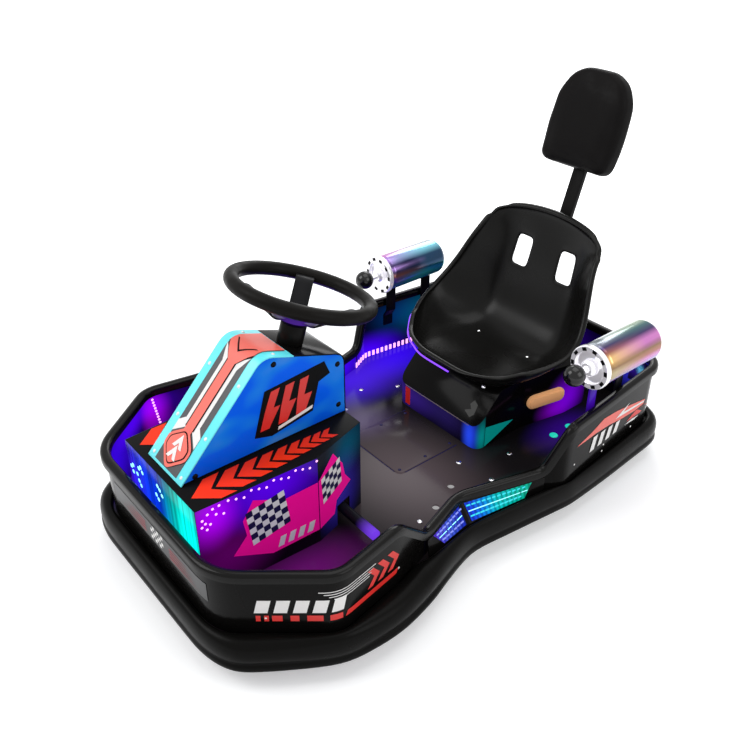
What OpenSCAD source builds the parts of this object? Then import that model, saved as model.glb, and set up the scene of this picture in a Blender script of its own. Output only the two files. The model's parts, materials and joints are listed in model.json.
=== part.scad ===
// Battery bumper car for children: steel tub on a floor pan inside a rubber bumper ring,
// nose console over a steered drive wheel, bucket seat on a battery box, two fixed rear wheels.
// Millimetres, +Z up, nose towards -Y, ground at z = 0, origin under the middle of the car.

/* [Floor and bumper] */
// Top of the floor plate above the ground
floor_z = 100; // [95:1:115]
// Thickness of the floor plate
floor_t = 4; // [3:0.5:6]
// Gap between the tub and the shoulder of the bumper
bumper_gap = 3.5; // [3:0.5:6]
// Width of the bumper at its widest part, beside the end of the front wall
bumper_w = 60; // [50:1:70]
// Underside of the bumper above the ground
bumper_low = 44; // [38:1:50]
// Crest of the bumper above the ground
bumper_high = 114; // [108:1:122]
// Radius of the four bolt holes in the floor
floor_hole_r = 8.5; // [5:0.1:12]
// Distance apart of the rear pair of floor holes
hole_span_rear = 410; // [390:1:440]
// Distance apart of the front pair of floor holes
hole_span_front = 474; // [450:1:500]

/* [Tub] */
// Thickness of the tub sheet
sheet_t = 3; // [2:0.5:5]
// Front wall distance ahead of the middle
nose_y = 634; // [615:1:655]
// Half width of the front wall
nose_hw = 240; // [210:1:260]
// Half width at the front flare
flare_hw = 390; // [380:1:410]
// Half width where the front wall ends
front_end_hw = 362; // [355:1:375]
// Half width of the sill at its front end
sill_front_hw = 334; // [325:1:345]
// Half width at the waist
waist_hw = 288; // [275:1:300]
// Half width of the sill at its rear end
sill_rear_hw = 350; // [340:1:360]
// Half width at the hip
hip_hw = 376; // [368:1:390]
// Half width at the tail
tail_hw = 336; // [320:1:350]
// Rear wall distance behind the middle
tail_y = 637; // [625:1:655]
// Top edge of the front wall
front_z = 256; // [235:1:280]
// Top edge of the sill
sill_z = 158; // [145:1:175]
// Top edge of the rear wall
rear_z = 270; // [250:1:295]
// Half width of the edge trim
trim_hw = 12; // [8:0.5:15]
// Depth of the edge trim below the sheet's edge
trim_d = 10; // [6:0.5:14]

/* [Console] */
// Top of the console base
base_z = 330; // [320:1:345]
// Half width of the console base at the front
base_front_hw = 147; // [138:1:155]
// Half width of the console base at its widest
base_hw = 160; // [150:1:170]
// Half width of the console base at the back
base_back_hw = 118; // [105:1:130]
// Half width of the upper console
upper_hw = 67; // [58:1:80]
// Highest point of the upper console
upper_z = 546; // [530:1:560]
// Lean of the steering column towards the driver
column_lean = 19; // [14:0.5:24]
// Diameter of the foot pedals
pedal_d = 24; // [16:1:30]
// Reach of the foot pedals from the middle
pedal_reach = 250; // [220:1:270]

/* [Steering wheel] */
// Radius of the rim at the middle of its tube
rim_r = 146; // [135:1:165]
// Radius of the rim's tube
rim_tube_r = 15.5; // [11:0.5:18]
// Height of the rim above the dash along the column
rim_h = 112; // [100:1:125]
// Radius of the steering shaft
shaft_r = 10; // [8:0.5:14]
// Radius of the column boss
boss_r = 28; // [24:1:36]
// Height of the column boss
boss_h = 44; // [38:1:48]

/* [Wheels] */
// Radius of the drive wheel
drive_r = 90; // [80:1:95]
// Width of the drive wheel
drive_w = 60; // [44:1:64]
// Distance of the drive wheel ahead of the middle
drive_y = 475; // [465:1:485]
// Radius of the rear wheels
rear_r = 40; // [34:1:42]
// Width of the rear wheels
rear_w = 30; // [24:1:36]
// Half of the rear track
rear_x = 262; // [250:1:275]
// Distance of the rear wheels behind the middle
rear_wheel_y = 430; // [410:1:450]

/* [Seat] */
// Top of the battery box that carries the seat
box_z = 250; // [235:1:262]
// Half width of the battery box at the front
box_hw = 148; // [138:1:156]
// Half width of the battery box at the back
box_back_hw = 176; // [165:1:190]
// Half width of the seat
seat_hw = 237; // [225:1:245]
// Depth of the seat from its front lip to the top of its back
seat_depth = 379; // [360:1:390]
// Height of the seat back above the pan
seat_back_h = 342; // [320:1:360]
// Thickness of the seat shell
seat_t = 6; // [4:0.5:8]
// Width of the headrest pad
pad_w = 222; // [205:1:240]
// Height of the headrest pad
pad_h = 243; // [225:1:255]
// Thickness of the headrest pad
pad_t = 50; // [40:1:60]

/* [Bottles] */
// Radius of the bottles
bottle_r = 50; // [42:1:54]
// Length of the bottles behind the collar
bottle_l = 200; // [180:1:220]
// Height of the bottle axes on average
bottle_z = 382; // [374:1:395]
// How far the left bottle stands above that, and the right one below it
bottle_step = 16; // [0:1:18]
// Radius of the knobs
knob_r = 25; // [20:1:28]

/* [Hidden] */
$fn = 48;

// Clearances: seat of a piece on its carrier, running fit of a shaft, free motion
seat_gap = 0.3;
fit_gap = 0.05;
free_gap = 6;

// Places along the car
flare_y = -449;
front_end_y = -283;
sill_front_y = -185;
waist_y = -45;
sill_rear_y = 172;
hip_y = 222;
tail_side_y = 600;
base_front_y = -606;
base_wide_y = -329;
base_back_y = -183;
middle_y = -17.5;
floor_low = floor_z - floor_t;
band_t = 3;

// Whole car moved so that the origin lies under the middle of its length
module placed() translate([0, middle_y, 0]) children();

// Vector helpers
function unit(v) = v / norm(v);
function lerp(a, b, t) = a + (b - a) * t;
function flip(p) = [-p[0], p[1]];
function backwards(p) = [for (i = [len(p) - 1 : -1 : 0]) p[i]];
function mirrored(half) = concat(half, [for (p = backwards(half)) if (p[0] > 0) flip(p)]);

// Closed smooth curve through a list of points
function knot(a, b, c, d, t) =
    (2 * b + (c - a) * t + (2 * a - 5 * b + 4 * c - d) * t * t + (3 * b - a - 3 * c + d) * t * t * t) / 2;
function loop_curve(p, steps) = let (n = len(p))
    [for (i = [0 : n - 1]) for (k = [0 : steps - 1])
        knot(p[(i + n - 1) % n], p[i], p[(i + 1) % n], p[(i + 2) % n], k / steps)];

// Open line with its corners eased over the lengths d
function ease(a, b, c, d, n) = let (p = b + unit(a - b) * d, q = b + unit(c - b) * d)
    [for (k = [0 : n]) let (t = k / n) (1 - t) * (1 - t) * p + 2 * t * (1 - t) * b + t * t * q];
function ease_length(a, b, c, d) = min(d, 0.45 * norm(b - a), 0.45 * norm(c - b));
function eased(p, d, n = 5) = [for (i = [0 : len(p) - 1])
    each (d[i] > 0 ? ease(p[i - 1], p[i], p[i + 1], ease_length(p[i - 1], p[i], p[i + 1], d[i]), n) : [p[i]])];

// Line moved sideways with mitred corners, open or closed
function left_of(d) = [-d[1], d[0]];
function mitre(a, b) = (left_of(a) + left_of(b)) / (1 + a * b);
function side_line(p, d) = let (n = len(p)) [for (i = [0 : n - 1])
    p[i] + d * mitre(unit(p[max(i, 1)] - p[max(i, 1) - 1]), unit(p[min(i, n - 2) + 1] - p[min(i, n - 2)]))];
function inset(p, d) = let (n = len(p)) [for (i = [0 : n - 1])
    p[i] + d * mitre(unit(p[i] - p[(i + n - 1) % n]), unit(p[(i + 1) % n] - p[i]))];
module strip(p, t) polygon(concat(side_line(p, t / 2), backwards(side_line(p, -t / 2))));

// Profile pushed along +X from a plan in Y and Z
module along_x(half) rotate([90, 0, 90]) linear_extrude(2 * half, center = true) children();

// Four-sided face as two triangles
function halves(q) = [[q[0], q[1], q[2]], [q[0], q[2], q[3]]];

// Section swept along an open line in space: mitred in plan like the sheet under it, and in pitch;
// an end with a direction given is cut square to that direction
function ring_at(p, i, sec, ends) = let (n = len(p), a = max(i, 1), b = min(i, n - 2),
        t0 = unit(p[a] - p[a - 1]), t1 = unit(p[b + 1] - p[b]),
        h0 = unit([t0[0], t0[1]]), h1 = unit([t1[0], t1[1]]), side = -mitre(h0, h1), h = unit(h0 + h1),
        c0 = [norm([t0[0], t0[1]]), t0[2]], c1 = [norm([t1[0], t1[1]]), t1[2]], c = unit(c0 + c1),
        rise = [-c[1], c[0]] / (c * c0),
        m = i == 0 ? ends[0] : i == n - 1 ? ends[1] : [0, 0, 0])
    [for (q = sec) let (w = concat(q[0] * side, [0]) + q[1] * concat(h * rise[0], [rise[1]]))
        p[i] + w - (norm(m) > 0 ? t0 * ((w * m) / (t0 * m)) : [0, 0, 0])];
module sweep(sec, p, ends = [[0, 0, 0], [0, 0, 0]]) {
    n = len(sec);
    m = len(p);
    polyhedron([for (i = [0 : m - 1]) each ring_at(p, i, sec, ends)],
        concat([[for (k = [0 : n - 1]) k]], [[for (k = [n - 1 : -1 : 0]) (m - 1) * n + k]],
            [for (i = [0 : m - 2]) for (k = [0 : n - 1]) let (a = i * n + k, b = i * n + (k + 1) % n)
                each halves([a, a + n, b + n, b])]));
}

// Shell between two grids of points, with some cells left open
function grid_keep(keep, i, j, n, m) = i >= 0 && j >= 0 && i < n && j < m && keep[i][j];
function grid_walls(i, j, n, m, keep, q, w) = let (a = i * w + j, b = a + 1, c = a + w, d = c + 1) concat(
    grid_keep(keep, i - 1, j, n, m) ? [] : halves([a, b, b + q, a + q]),
    grid_keep(keep, i + 1, j, n, m) ? [] : halves([d, c, c + q, d + q]),
    grid_keep(keep, i, j - 1, n, m) ? [] : halves([c, a, a + q, c + q]),
    grid_keep(keep, i, j + 1, n, m) ? [] : halves([b, d, d + q, b + q]));
module grid_shell(face, back, keep) {
    n = len(face) - 1;
    w = len(face[0]);
    q = (n + 1) * w;
    polyhedron(concat([for (r = face) each r], [for (r = back) each r]),
        [for (i = [0 : n - 1]) for (j = [0 : w - 2]) if (keep[i][j]) each concat(
            let (a = i * w + j) halves([a, a + w, a + w + 1, a + 1]),
            let (a = q + i * w + j) halves([a, a + 1, a + w + 1, a + w]),
            grid_walls(i, j, n, w - 1, keep, q, w))]);
}

// Tub edge in space from the front sill corner round the nose, and round the tail
front_half = [[sill_front_hw, sill_front_y, sill_z], [front_end_hw, front_end_y, front_z],
    [flare_hw, flare_y, front_z], [nose_hw, -nose_y, front_z]];
rear_half = [[sill_rear_hw, sill_rear_y, sill_z], [hip_hw, hip_y, rear_z],
    [tail_hw, tail_side_y, rear_z], [tail_hw - 70, tail_y, rear_z]];
sill_bend = 30;
function flip_x(p) = [-p[0], p[1], p[2]];
function whole(half) = concat(half, [for (p = backwards(half)) flip_x(p)]);
front_edge = eased(whole(front_half), [0, 22, 30, 60, 60, 30, 22, 0]);
rear_edge = eased(whole(rear_half), [0, 18, 35, 35, 35, 35, 18, 0]);
function toward(a, b, d) = a + unit(b - a) * d;
sill_front = [sill_front_hw, sill_front_y, sill_z];
sill_waist = [waist_hw, waist_y, sill_z];
sill_rear = [sill_rear_hw, sill_rear_y, sill_z];
sill_edge = eased([toward(sill_front, sill_waist, seat_gap), sill_waist, toward(sill_rear, sill_waist, seat_gap)],
    [0, sill_bend, 0]);
function plan(p) = [for (q = p) [q[0], q[1]]];
function side(p) = [for (q = p) [q[1], q[2]]];

// Bumper: its shoulder follows the tub and the feet of the sills, from the nose to the tail on the left side
nose_p = [nose_hw, -nose_y];
flare_p = [flare_hw, flare_y];
end_p = [front_end_hw, front_end_y];
sill_p = [sill_front_hw, sill_front_y];
hip_p = [hip_hw, hip_y];
tail_p = [tail_hw, tail_side_y];
stern_p = [tail_hw - 70, tail_y];
sill_foot_front = sill_front_hw * 1.05;
sill_foot_waist = waist_hw * 1.16;
sill_foot_rear = sill_rear_hw * 1.026;
foot_gap = 2.4;
bumper_ledge = 16;
function sill_span(front, waist, rear, y) = y < waist_y ?
    lerp(front, waist, (y - sill_front_y) / (waist_y - sill_front_y)) :
    lerp(waist, rear, (y - waist_y) / (sill_rear_y - waist_y));
function outside(a, b, t) = lerp(a, b, t) - bumper_gap * left_of(unit(b - a));
function sill_foot_at(y) = [sill_span(sill_foot_front, sill_foot_waist, sill_foot_rear, y) + foot_gap, y];
bumper_line_half = [[0, -nose_y - bumper_gap], [nose_hw * 0.625, -nose_y - bumper_gap],
    [nose_hw * 0.854, -nose_y - bumper_gap], [nose_hw, -nose_y + 7], outside(nose_p, flare_p, 0.14),
    outside(nose_p, flare_p, 0.275), outside(nose_p, flare_p, 0.63), outside(nose_p, flare_p, 0.98),
    outside(flare_p, end_p, 0.265), outside(flare_p, end_p, 0.717), outside(end_p, sill_p, 0.13),
    outside(end_p, sill_p, 0.62), sill_foot_at(sill_front_y + 2), sill_foot_at(lerp(sill_front_y, waist_y, 0.52)),
    sill_foot_at(waist_y), sill_foot_at(lerp(waist_y, sill_rear_y, 0.4)), sill_foot_at(lerp(waist_y, sill_rear_y, 0.75)),
    sill_foot_at(sill_rear_y - 2), hip_p + [bumper_gap + 0.5, 2], outside(hip_p, tail_p, 0.106),
    outside(hip_p, tail_p, 0.418), outside(hip_p, tail_p, 0.767), tail_p + [0.5, -1], outside(tail_p, stern_p, 0.486),
    [stern_p[0] - 8, tail_y + bumper_gap], [stern_p[0] * 0.56, tail_y + bumper_gap], [0, tail_y + bumper_gap]];
// Reach of the bumper outwards from each of those points, as shares of its width
bumper_out = [[0, -0.475], [0, -0.475], [0.05, -0.45], [0.233, -0.483], [0.417, -0.517], [0.567, -0.508],
    [0.5, -0.417], [0.392, -0.183], [0.675, 0.092], [0.925, 0.125], [0.917, 0.25], [0.942, 0.233], [0.65, 0.183],
    [0.442, 0.067], [0.358, -0.017], [0.35, -0.033], [0.355, -0.033], [0.367, 0], [0.158, 0.067], [0.25, 0.067],
    [0.37, 0.067], [0.433, 0.083], [0.483, 0.233], [0.307, 0.483], [0.067, 0.442], [0, 0.475], [0, 0.475]];
bumper_outer_half = [for (i = [0 : len(bumper_out) - 1]) bumper_line_half[i] + bumper_w * bumper_out[i]];
bumper_line = loop_curve(mirrored(bumper_line_half), 2);
bumper_outer = loop_curve(mirrored(bumper_outer_half), 2);
function bumper_in(d) = [for (i = [0 : len(bumper_line) - 1])
    bumper_line[i] + d * unit(bumper_line[i] - bumper_outer[i])];
function bumper_h(t) = lerp(bumper_low, bumper_high, t);
// Section: millimetres inside the shoulder, share of the reach outside it, height; a ledge carries the floor
ledge_z = floor_low - seat_gap;
bumper_sec = [[bumper_ledge, 0, bumper_h(0.14)], [bumper_ledge - 4, 0, bumper_low], [0, 0.88, bumper_low],
    [0, 0.97, bumper_h(0.03)], [0, 1, bumper_h(0.1)], [0, 0.98, bumper_h(0.2)], [0, 0.88, bumper_h(0.25)],
    [0, 0.87, bumper_h(0.31)], [0, 0.93, bumper_h(0.37)], [0, 0.95, bumper_h(0.5)], [0, 0.93, bumper_h(0.66)],
    [0, 0.85, bumper_h(0.82)], [0, 0.68, bumper_h(0.94)], [0, 0.42, bumper_high], [0, 0.16, bumper_h(0.99)],
    [0, 0.03, bumper_h(0.93)], [0, 0, bumper_h(0.86)], [0, 0, ledge_z], [bumper_ledge, 0, ledge_z]];

module bumper() {
    n = len(bumper_sec);
    m = len(bumper_line);
    rings = [for (q = bumper_sec) q[0] > 0 ? bumper_in(q[0]) :
        [for (i = [0 : m - 1]) lerp(bumper_line[i], bumper_outer[i], q[1])]];
    color([0.05, 0.05, 0.06])
    polyhedron([for (i = [0 : m - 1]) for (k = [0 : n - 1]) concat(rings[k][i], [bumper_sec[k][2]])],
        [for (i = [0 : m - 1]) for (k = [0 : n - 1])
            let (a = i * n, b = ((i + 1) % m) * n, l = (k + 1) % n) each halves([a + k, b + k, b + l, a + l])]);
}

// Steel band under the floor that holds the bumper
module bumper_band() {
    band_low = bumper_h(0.12);
    color([0.2, 0.2, 0.22]) translate([0, 0, band_low]) linear_extrude(floor_low - band_low) difference() {
        polygon(bumper_in(bumper_ledge + seat_gap));
        polygon(bumper_in(bumper_ledge + seat_gap + band_t));
    }
}

wheel_well_r = norm([drive_r, drive_w / 2]) + 10;
hole_y_rear = 19;
hole_y_front = -59;

module floor_pan() {
    color([0.12, 0.12, 0.13]) difference() {
        translate([0, 0, floor_low]) linear_extrude(floor_t) polygon(bumper_in(seat_gap));
        translate([0, -drive_y, floor_low - 1]) cylinder(r = wheel_well_r, h = floor_t + 2);
        for (s = [-1, 1]) {
            translate([s * hole_span_rear / 2, hole_y_rear, floor_low - 1]) cylinder(r = floor_hole_r, h = floor_t + 2);
            translate([s * hole_span_front / 2, hole_y_front, floor_low - 1]) cylinder(r = floor_hole_r, h = floor_t + 2);
        }
    }
}

// Rails and cross members welded under the floor
tube = 34;
frame_x = 150;
frame_front = -560;
frame_back = 600;
module chassis_frame() {
    color([0.1, 0.1, 0.11]) translate([0, 0, floor_low - tube]) {
        for (s = [-1, 1]) translate([s * frame_x - tube / 2, frame_front, 0]) cube([tube, frame_back - frame_front, tube]);
        for (y = [base_wide_y, hip_y / 3, hip_y + 90, frame_back - tube])
            translate([-frame_x, y, 0]) cube([2 * frame_x, tube, tube]);
    }
}

// Tub sheet under an edge line in space
module wall_under(edge) {
    top = 400;
    difference() {
        translate([0, 0, floor_z]) linear_extrude(top - floor_z) strip(plan(edge), sheet_t);
        children();
    }
}

module front_wall() {
    far = 100;
    half = [for (p = front_edge) if (p[0] > 0) p];
    color([0.07, 0.07, 0.09]) wall_under(front_edge)
        along_x(flare_hw + far) polygon(concat([[sill_front_y + far, sill_z - far]], side(half),
            [[-nose_y - far, front_z], [-nose_y - far, front_z + 2 * far], [sill_front_y + far, front_z + 2 * far]]));
}

module rear_wall() {
    far = 100;
    half = [for (p = rear_edge) if (p[0] > 0) p];
    color([0.07, 0.07, 0.09]) wall_under(rear_edge)
        along_x(hip_hw + far) polygon(concat([[sill_rear_y - far, sill_z - far]], side(half),
            [[tail_y + far, rear_z], [tail_y + far, rear_z + 2 * far], [sill_rear_y - far, rear_z + 2 * far]]));
}

module both_sides() for (s = [0, 1]) mirror([s, 0, 0]) children();

// Upright inner plates of the sills, just short of the walls at both ends
module sill_inner() {
    line = eased([toward(sill_front, sill_waist, sheet_t), sill_waist, toward(sill_rear, sill_waist, sheet_t)],
        [0, sill_bend, 0]);
    color([0.09, 0.08, 0.14]) both_sides() translate([0, 0, floor_z])
        linear_extrude(sill_z - floor_z) strip(plan(line), sheet_t);
}

// Slanting outer plates of the sills, each with two windows beside the waist
sill_foot_z = floor_z + 4;
sill_stand = 0.83 * trim_hw;
lens_lap = 4;
sill_rows = [0, 0.11, 0.16, 0.82, 0.87, 1];
sill_windows = [[lerp(sill_front_y, waist_y, 0.42), lerp(sill_front_y, waist_y, 0.9)],
    [lerp(waist_y, sill_rear_y, 0.07), lerp(waist_y, sill_rear_y, 0.62)]];
function window_ys(w) = concat([w[0] - lens_lap], [for (k = [0 : 4]) lerp(w[0], w[1], k / 4)], [w[1] + lens_lap]);
sill_short = 3;
sill_ys = concat([sill_front_y + sill_short], window_ys(sill_windows[0]), [waist_y],
    window_ys(sill_windows[1]), [sill_rear_y - sill_short]);
function in_window(y) = len([for (w = sill_windows) if (y > w[0] && y < w[1]) w]) > 0;
// Point on the slant at share v of its height, sunk behind its face
function sill_point(y, v, sunk) = let (
        top = [sill_span(sill_front_hw, waist_hw, sill_rear_hw, y) + sill_stand, y, sill_z - trim_d - 2],
        foot = [sill_span(sill_foot_front, sill_foot_waist, sill_foot_rear, y), y, sill_foot_z])
    lerp(top, foot, v) - sunk * unit([top[2] - foot[2], 0, foot[0] - top[0]]);
function sill_grid(ys, rows, sunk) = [for (y = ys) [for (v = rows) sill_point(y, v, sunk)]];
module sill_panels() {
    keep = [for (i = [0 : len(sill_ys) - 2]) [for (j = [0 : len(sill_rows) - 2])
        !(j == 2 && in_window((sill_ys[i] + sill_ys[i + 1]) / 2))]];
    color([0.08, 0.08, 0.1]) both_sides()
        grid_shell(sill_grid(sill_ys, sill_rows, 0), sill_grid(sill_ys, sill_rows, sheet_t), keep);
}

// Lens plates behind the windows, lapping the panel on all sides
lens_t = 2;
module sill_lenses() {
    rows = [for (j = [1 : 4]) sill_rows[j]];
    face = sheet_t + seat_gap;
    color([0.85, 0.85, 1]) both_sides() for (w = sill_windows) {
        ys = window_ys(w);
        grid_shell(sill_grid(ys, rows, face), sill_grid(ys, rows, face + lens_t),
            [for (i = [0 : len(ys) - 2]) [true, true, true]]);
    }
}

// Edge trim: a rubber channel over the sheet's edge
trim_play = 1.5;
slot = sheet_t / 2 + trim_play;
slot_top = sheet_t * 0.7;
trim_sec = [[-slot, -trim_d], [-slot, slot_top], [slot, slot_top], [slot, -trim_d], [trim_hw, -trim_d],
    [trim_hw, trim_d * 0.2], [trim_hw * 0.7, trim_d * 0.8], [0, trim_d], [-trim_hw * 0.7, trim_d * 0.8],
    [-trim_hw, trim_d * 0.2], [-trim_hw, -trim_d]];
trim_col = [0.04, 0.04, 0.045];
module front_trim() color(trim_col)
    sweep(trim_sec, front_edge, [sill_waist - sill_front, flip_x(sill_waist - sill_front)]);
module rear_trim() color(trim_col)
    sweep(trim_sec, rear_edge, [sill_rear - sill_waist, flip_x(sill_rear - sill_waist)]);
module sill_trim() color(trim_col) both_sides() sweep(trim_sec, sill_edge);

// Console base: hollow box over the drive wheel, with a slot at each side for a pedal
base_plan = mirrored([[base_front_hw, base_front_y], [base_hw, base_wide_y], [base_back_hw, base_back_y]]);
pedal_y = -248;
pedal_z = floor_z + 34;
module console_base() {
    slot_w = pedal_d + 18;
    color([0.06, 0.05, 0.2]) difference() {
        translate([0, 0, floor_z]) linear_extrude(base_z - floor_z) polygon(base_plan);
        translate([0, 0, floor_z - 1]) linear_extrude(base_z - floor_z - sheet_t + 1) polygon(inset(base_plan, sheet_t));
        translate([-base_hw - 20, pedal_y - slot_w / 2, floor_z - 1]) cube([2 * base_hw + 40, slot_w, pedal_z - floor_z + slot_w / 2]);
    }
}

// Bearing plate that carries the fork, across the inside of the console base
stem_r = 15;
bearing_t = 10;
crown_t = 12;
crown_z = 2 * drive_r + free_gap + 4;
bearing_z = crown_z + crown_t + free_gap;
module fork_bearing() {
    depth = 120;
    color([0.3, 0.3, 0.32]) translate([0, 0, bearing_z]) difference() {
        intersection() {
            linear_extrude(bearing_t) polygon(inset(base_plan, sheet_t + seat_gap));
            translate([-base_hw, -drive_y - depth / 2, -1]) cube([2 * base_hw, depth, bearing_t + 2]);
        }
        translate([0, -drive_y, -1]) cylinder(r = stem_r + fit_gap, h = bearing_t + 2);
    }
}

// Upper console in side view
upper_foot = [base_front_y + 17, base_z];
upper_top = [-384, upper_z];
upper_back_y = -186;
upper_back = [upper_back_y, upper_z - (upper_back_y - upper_top[0]) * tan(column_lean)];
upper_end = [upper_back_y, base_z];
cover_end = lerp(upper_top, upper_back, 0.36);
cover_line = eased([upper_foot, upper_top, cover_end], [0, 26, 0]);
back_line = eased([cover_end, upper_back, upper_end], [0, 20, 0]);
module console_panels() {
    color([0.1, 0.3, 0.7]) for (s = [-1, 1]) translate([s * (upper_hw - sheet_t / 2), 0, 0])
        along_x(sheet_t / 2) polygon(concat(cover_line, back_line));
}
module console_cover() color([0.85, 0.25, 0.2]) along_x(upper_hw + 2) strip(side_line(cover_line, sheet_t / 2), sheet_t);
module console_back() color([0.07, 0.07, 0.08]) along_x(upper_hw) difference() {
    strip(side_line(back_line, sheet_t / 2), sheet_t);
    translate([-500, base_z - 100]) square([1000, 100]);
}

// Steering column frame: foot of the column on the dash, axis along the lean
dash_mid = 0.54;
column_foot = lerp(upper_top, upper_back, dash_mid) + sheet_t * [sin(column_lean), cos(column_lean)];
module on_column() translate([0, column_foot[0], column_foot[1]]) rotate([-column_lean, 0, 0]) children();

module column_boss() {
    color([0.05, 0.05, 0.05]) on_column() difference() {
        cylinder(r = boss_r, h = boss_h);
        translate([0, 0, -1]) cylinder(r = shaft_r + fit_gap, h = boss_h + 2);
    }
}

module steering_rim() {
    color([0.06, 0.06, 0.06]) on_column() rim_tube(0);
}

// Hub, shaft and three dished spokes a third of a turn apart
hub_r = 34;
hub_t = 12;
spoke_t = 4;
spoke_w = 40;
spoke_rise = 60;
module rim_tube(grow) translate([0, 0, rim_h]) rotate_extrude() translate([rim_r, 0]) circle(r = rim_tube_r + grow);
module steering_spider() {
    hub_z = boss_h + free_gap;
    spoke_end = rim_r - rim_tube_r / 2;
    spoke_line = eased([[hub_r * 0.76, hub_z + hub_t / 2], [spoke_rise, hub_z + hub_t / 2],
        [spoke_end - spoke_rise / 2, rim_h], [spoke_end, rim_h]], [0, 12, 12, 0]);
    color([0.25, 0.25, 0.28]) on_column() {
        translate([0, 0, 4]) cylinder(r = shaft_r, h = hub_z);
        translate([0, 0, hub_z]) cylinder(r = hub_r, h = hub_t);
        difference() {
            for (a = [20, 140, 260]) rotate([0, 0, a]) rotate([90, 0, 0])
                linear_extrude(spoke_w, center = true) strip(spoke_line, spoke_t);
            rim_tube(seat_gap);
        }
    }
}

// Foot pedals: a bar out of the console on a post inside it
pedal_post_w = 30;
pedal_post_t = 8;
module pedals() {
    post_x = base_back_hw * 0.6;
    color([0.3, 0.2, 0.5]) both_sides() {
        translate([post_x, pedal_y, pedal_z]) rotate([0, 90, 0]) cylinder(d = pedal_d, h = pedal_reach - post_x);
        translate([post_x, pedal_y - pedal_post_w / 2, floor_z])
            cube([pedal_post_t, pedal_post_w, pedal_z - floor_z + pedal_d / 2]);
    }
}

// Hatch cover on the floor ahead of the seat
hatch_hw = 97;
hatch_front = -49;
hatch_t = 3;
module floor_hatch() {
    corner = 18;
    back = box_front - 18;
    half = [[0, hatch_front], [hatch_hw, hatch_front], [hatch_hw, back], [0, back]];
    color([0.1, 0.1, 0.12]) translate([0, 0, floor_z]) linear_extrude(hatch_t)
        polygon(mirrored(eased(half, [0, corner, corner, 0])));
}

// Battery box under the seat: upright foot, sloping front panel, sides that flare to the back
box_front = 158;
box_step_z = floor_z + 66;
box_flare_y = 320;
box_wide_y = 457;
box_back = 548;
box_bend = 8;
front_slope = 78;
module box_form(skin) {
    half = eased([[0, box_front], [box_hw, box_front], [box_hw, box_flare_y], [box_back_hw, box_wide_y],
        [box_back_hw, box_back], [0, box_back]], [0, 28, box_bend, box_bend, 20, 0]);
    slope_shift = skin * 1.1;
    intersection() {
        translate([0, 0, floor_z - (skin > 0 ? 1 : 0)]) linear_extrude(box_z - floor_z - skin + (skin > 0 ? 1 : 0))
            polygon(inset(mirrored(half), skin));
        along_x(box_back_hw + 10) polygon([[box_front + slope_shift, floor_z - 5], [box_back + 5, floor_z - 5],
            [box_back + 5, box_z + 5], [box_front + front_slope + slope_shift, box_z + 5],
            [box_front + front_slope + slope_shift, box_z], [box_front + slope_shift, box_step_z]]);
    }
}
module battery_box() {
    color([0.05, 0.05, 0.12]) difference() {
        box_form(0);
        box_form(sheet_t);
    }
}
module battery() {
    length = (box_back - box_front) * 0.66;
    half = box_hw * 0.71;
    color([0.15, 0.15, 0.15]) translate([-half, lerp(box_front, box_back, 0.18), floor_z])
        cube([2 * half, length, (box_z - floor_z) * 0.73]);
}

// Oblong amber lamps on the flared sides of the battery box
lamp_r = 20;
lamp_h = 14;
module marker_lamps() {
    from = [box_hw, box_flare_y];
    to = [box_back_hw, box_wide_y];
    length = norm(to - from) - 2 * box_bend - lamp_r / 3;
    mid = lerp(from, to, 0.5);
    turn = atan2(to[1] - from[1], to[0] - from[0]);
    outline = [for (s = [1, -1]) for (a = [-90 : 15 : 90])
        s * [(length / 2 - lamp_r) + lamp_r * cos(a), lamp_r * sin(a)]];
    color([1, 0.55, 0.1]) both_sides() translate([mid[0], mid[1], floor_z + 72]) rotate([0, 0, turn])
        rotate([90, 0, 0]) {
            linear_extrude(lamp_h * 0.6) polygon(outline);
            linear_extrude(lamp_h) offset(delta = -lamp_r / 4) polygon(outline);
        }
}

// Bucket seat: middle line and left rim from the front lip to the top of the back
seat_front = 177;
pan_z = box_z + seat_gap + seat_t;
seat_rows = 28;
seat_cols = 24;
// Middle line: shares of the depth and of the height
seat_mid = [[0, 0.09], [0.077, 0.024], [0.19, 0.003], [0.325, 0], [0.457, 0], [0.58, 0.008], [0.697, 0.055],
    [0.784, 0.157], [0.836, 0.295], [0.871, 0.435], [0.905, 0.587], [0.95, 0.792], [1, 1]];
// Rim: shares of the half width, the depth and the height
seat_rim = [[0.806, 0.172, 0.169], [0.882, 0.256, 0.181], [0.954, 0.348, 0.195], [0.987, 0.433, 0.222],
    [1, 0.515, 0.26], [0.975, 0.586, 0.327], [0.924, 0.652, 0.418], [0.882, 0.697, 0.511], [0.84, 0.736, 0.608],
    [0.789, 0.781, 0.69], [0.751, 0.826, 0.751], [0.713, 0.868, 0.801], [0.675, 0.91, 0.845]];
function between(p, v) = let (n = len(p) - 1, t = v * n, k = min(floor(t), n - 1))
    knot(p[max(k - 1, 0)], p[k], p[k + 1], p[min(k + 2, n)], t - k);
function seat_curl(u) = let (e = max(0, (abs(u) - 0.45) / 0.55)) e * e * (1.5 - 0.5 * e);
function seat_spread(u) = u * (1.12 - 0.12 * u * u);
function seat_point(i, j) = let (v = i / seat_rows, u = 2 * j / seat_cols - 1, c = seat_curl(u),
        m = between(seat_mid, v), r = between(seat_rim, v))
    [seat_hw * r[0] * seat_spread(u), seat_front + seat_depth * lerp(m[0], r[1], c),
        pan_z + seat_back_h * lerp(m[1], r[2], c)];
function seat_normal(i, j) = let (a = seat_point(max(i - 1, 0), j), b = seat_point(min(i + 1, seat_rows), j),
        c = seat_point(i, max(j - 1, 0)), d = seat_point(i, min(j + 1, seat_cols))) unit(cross(d - c, b - a));
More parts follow.
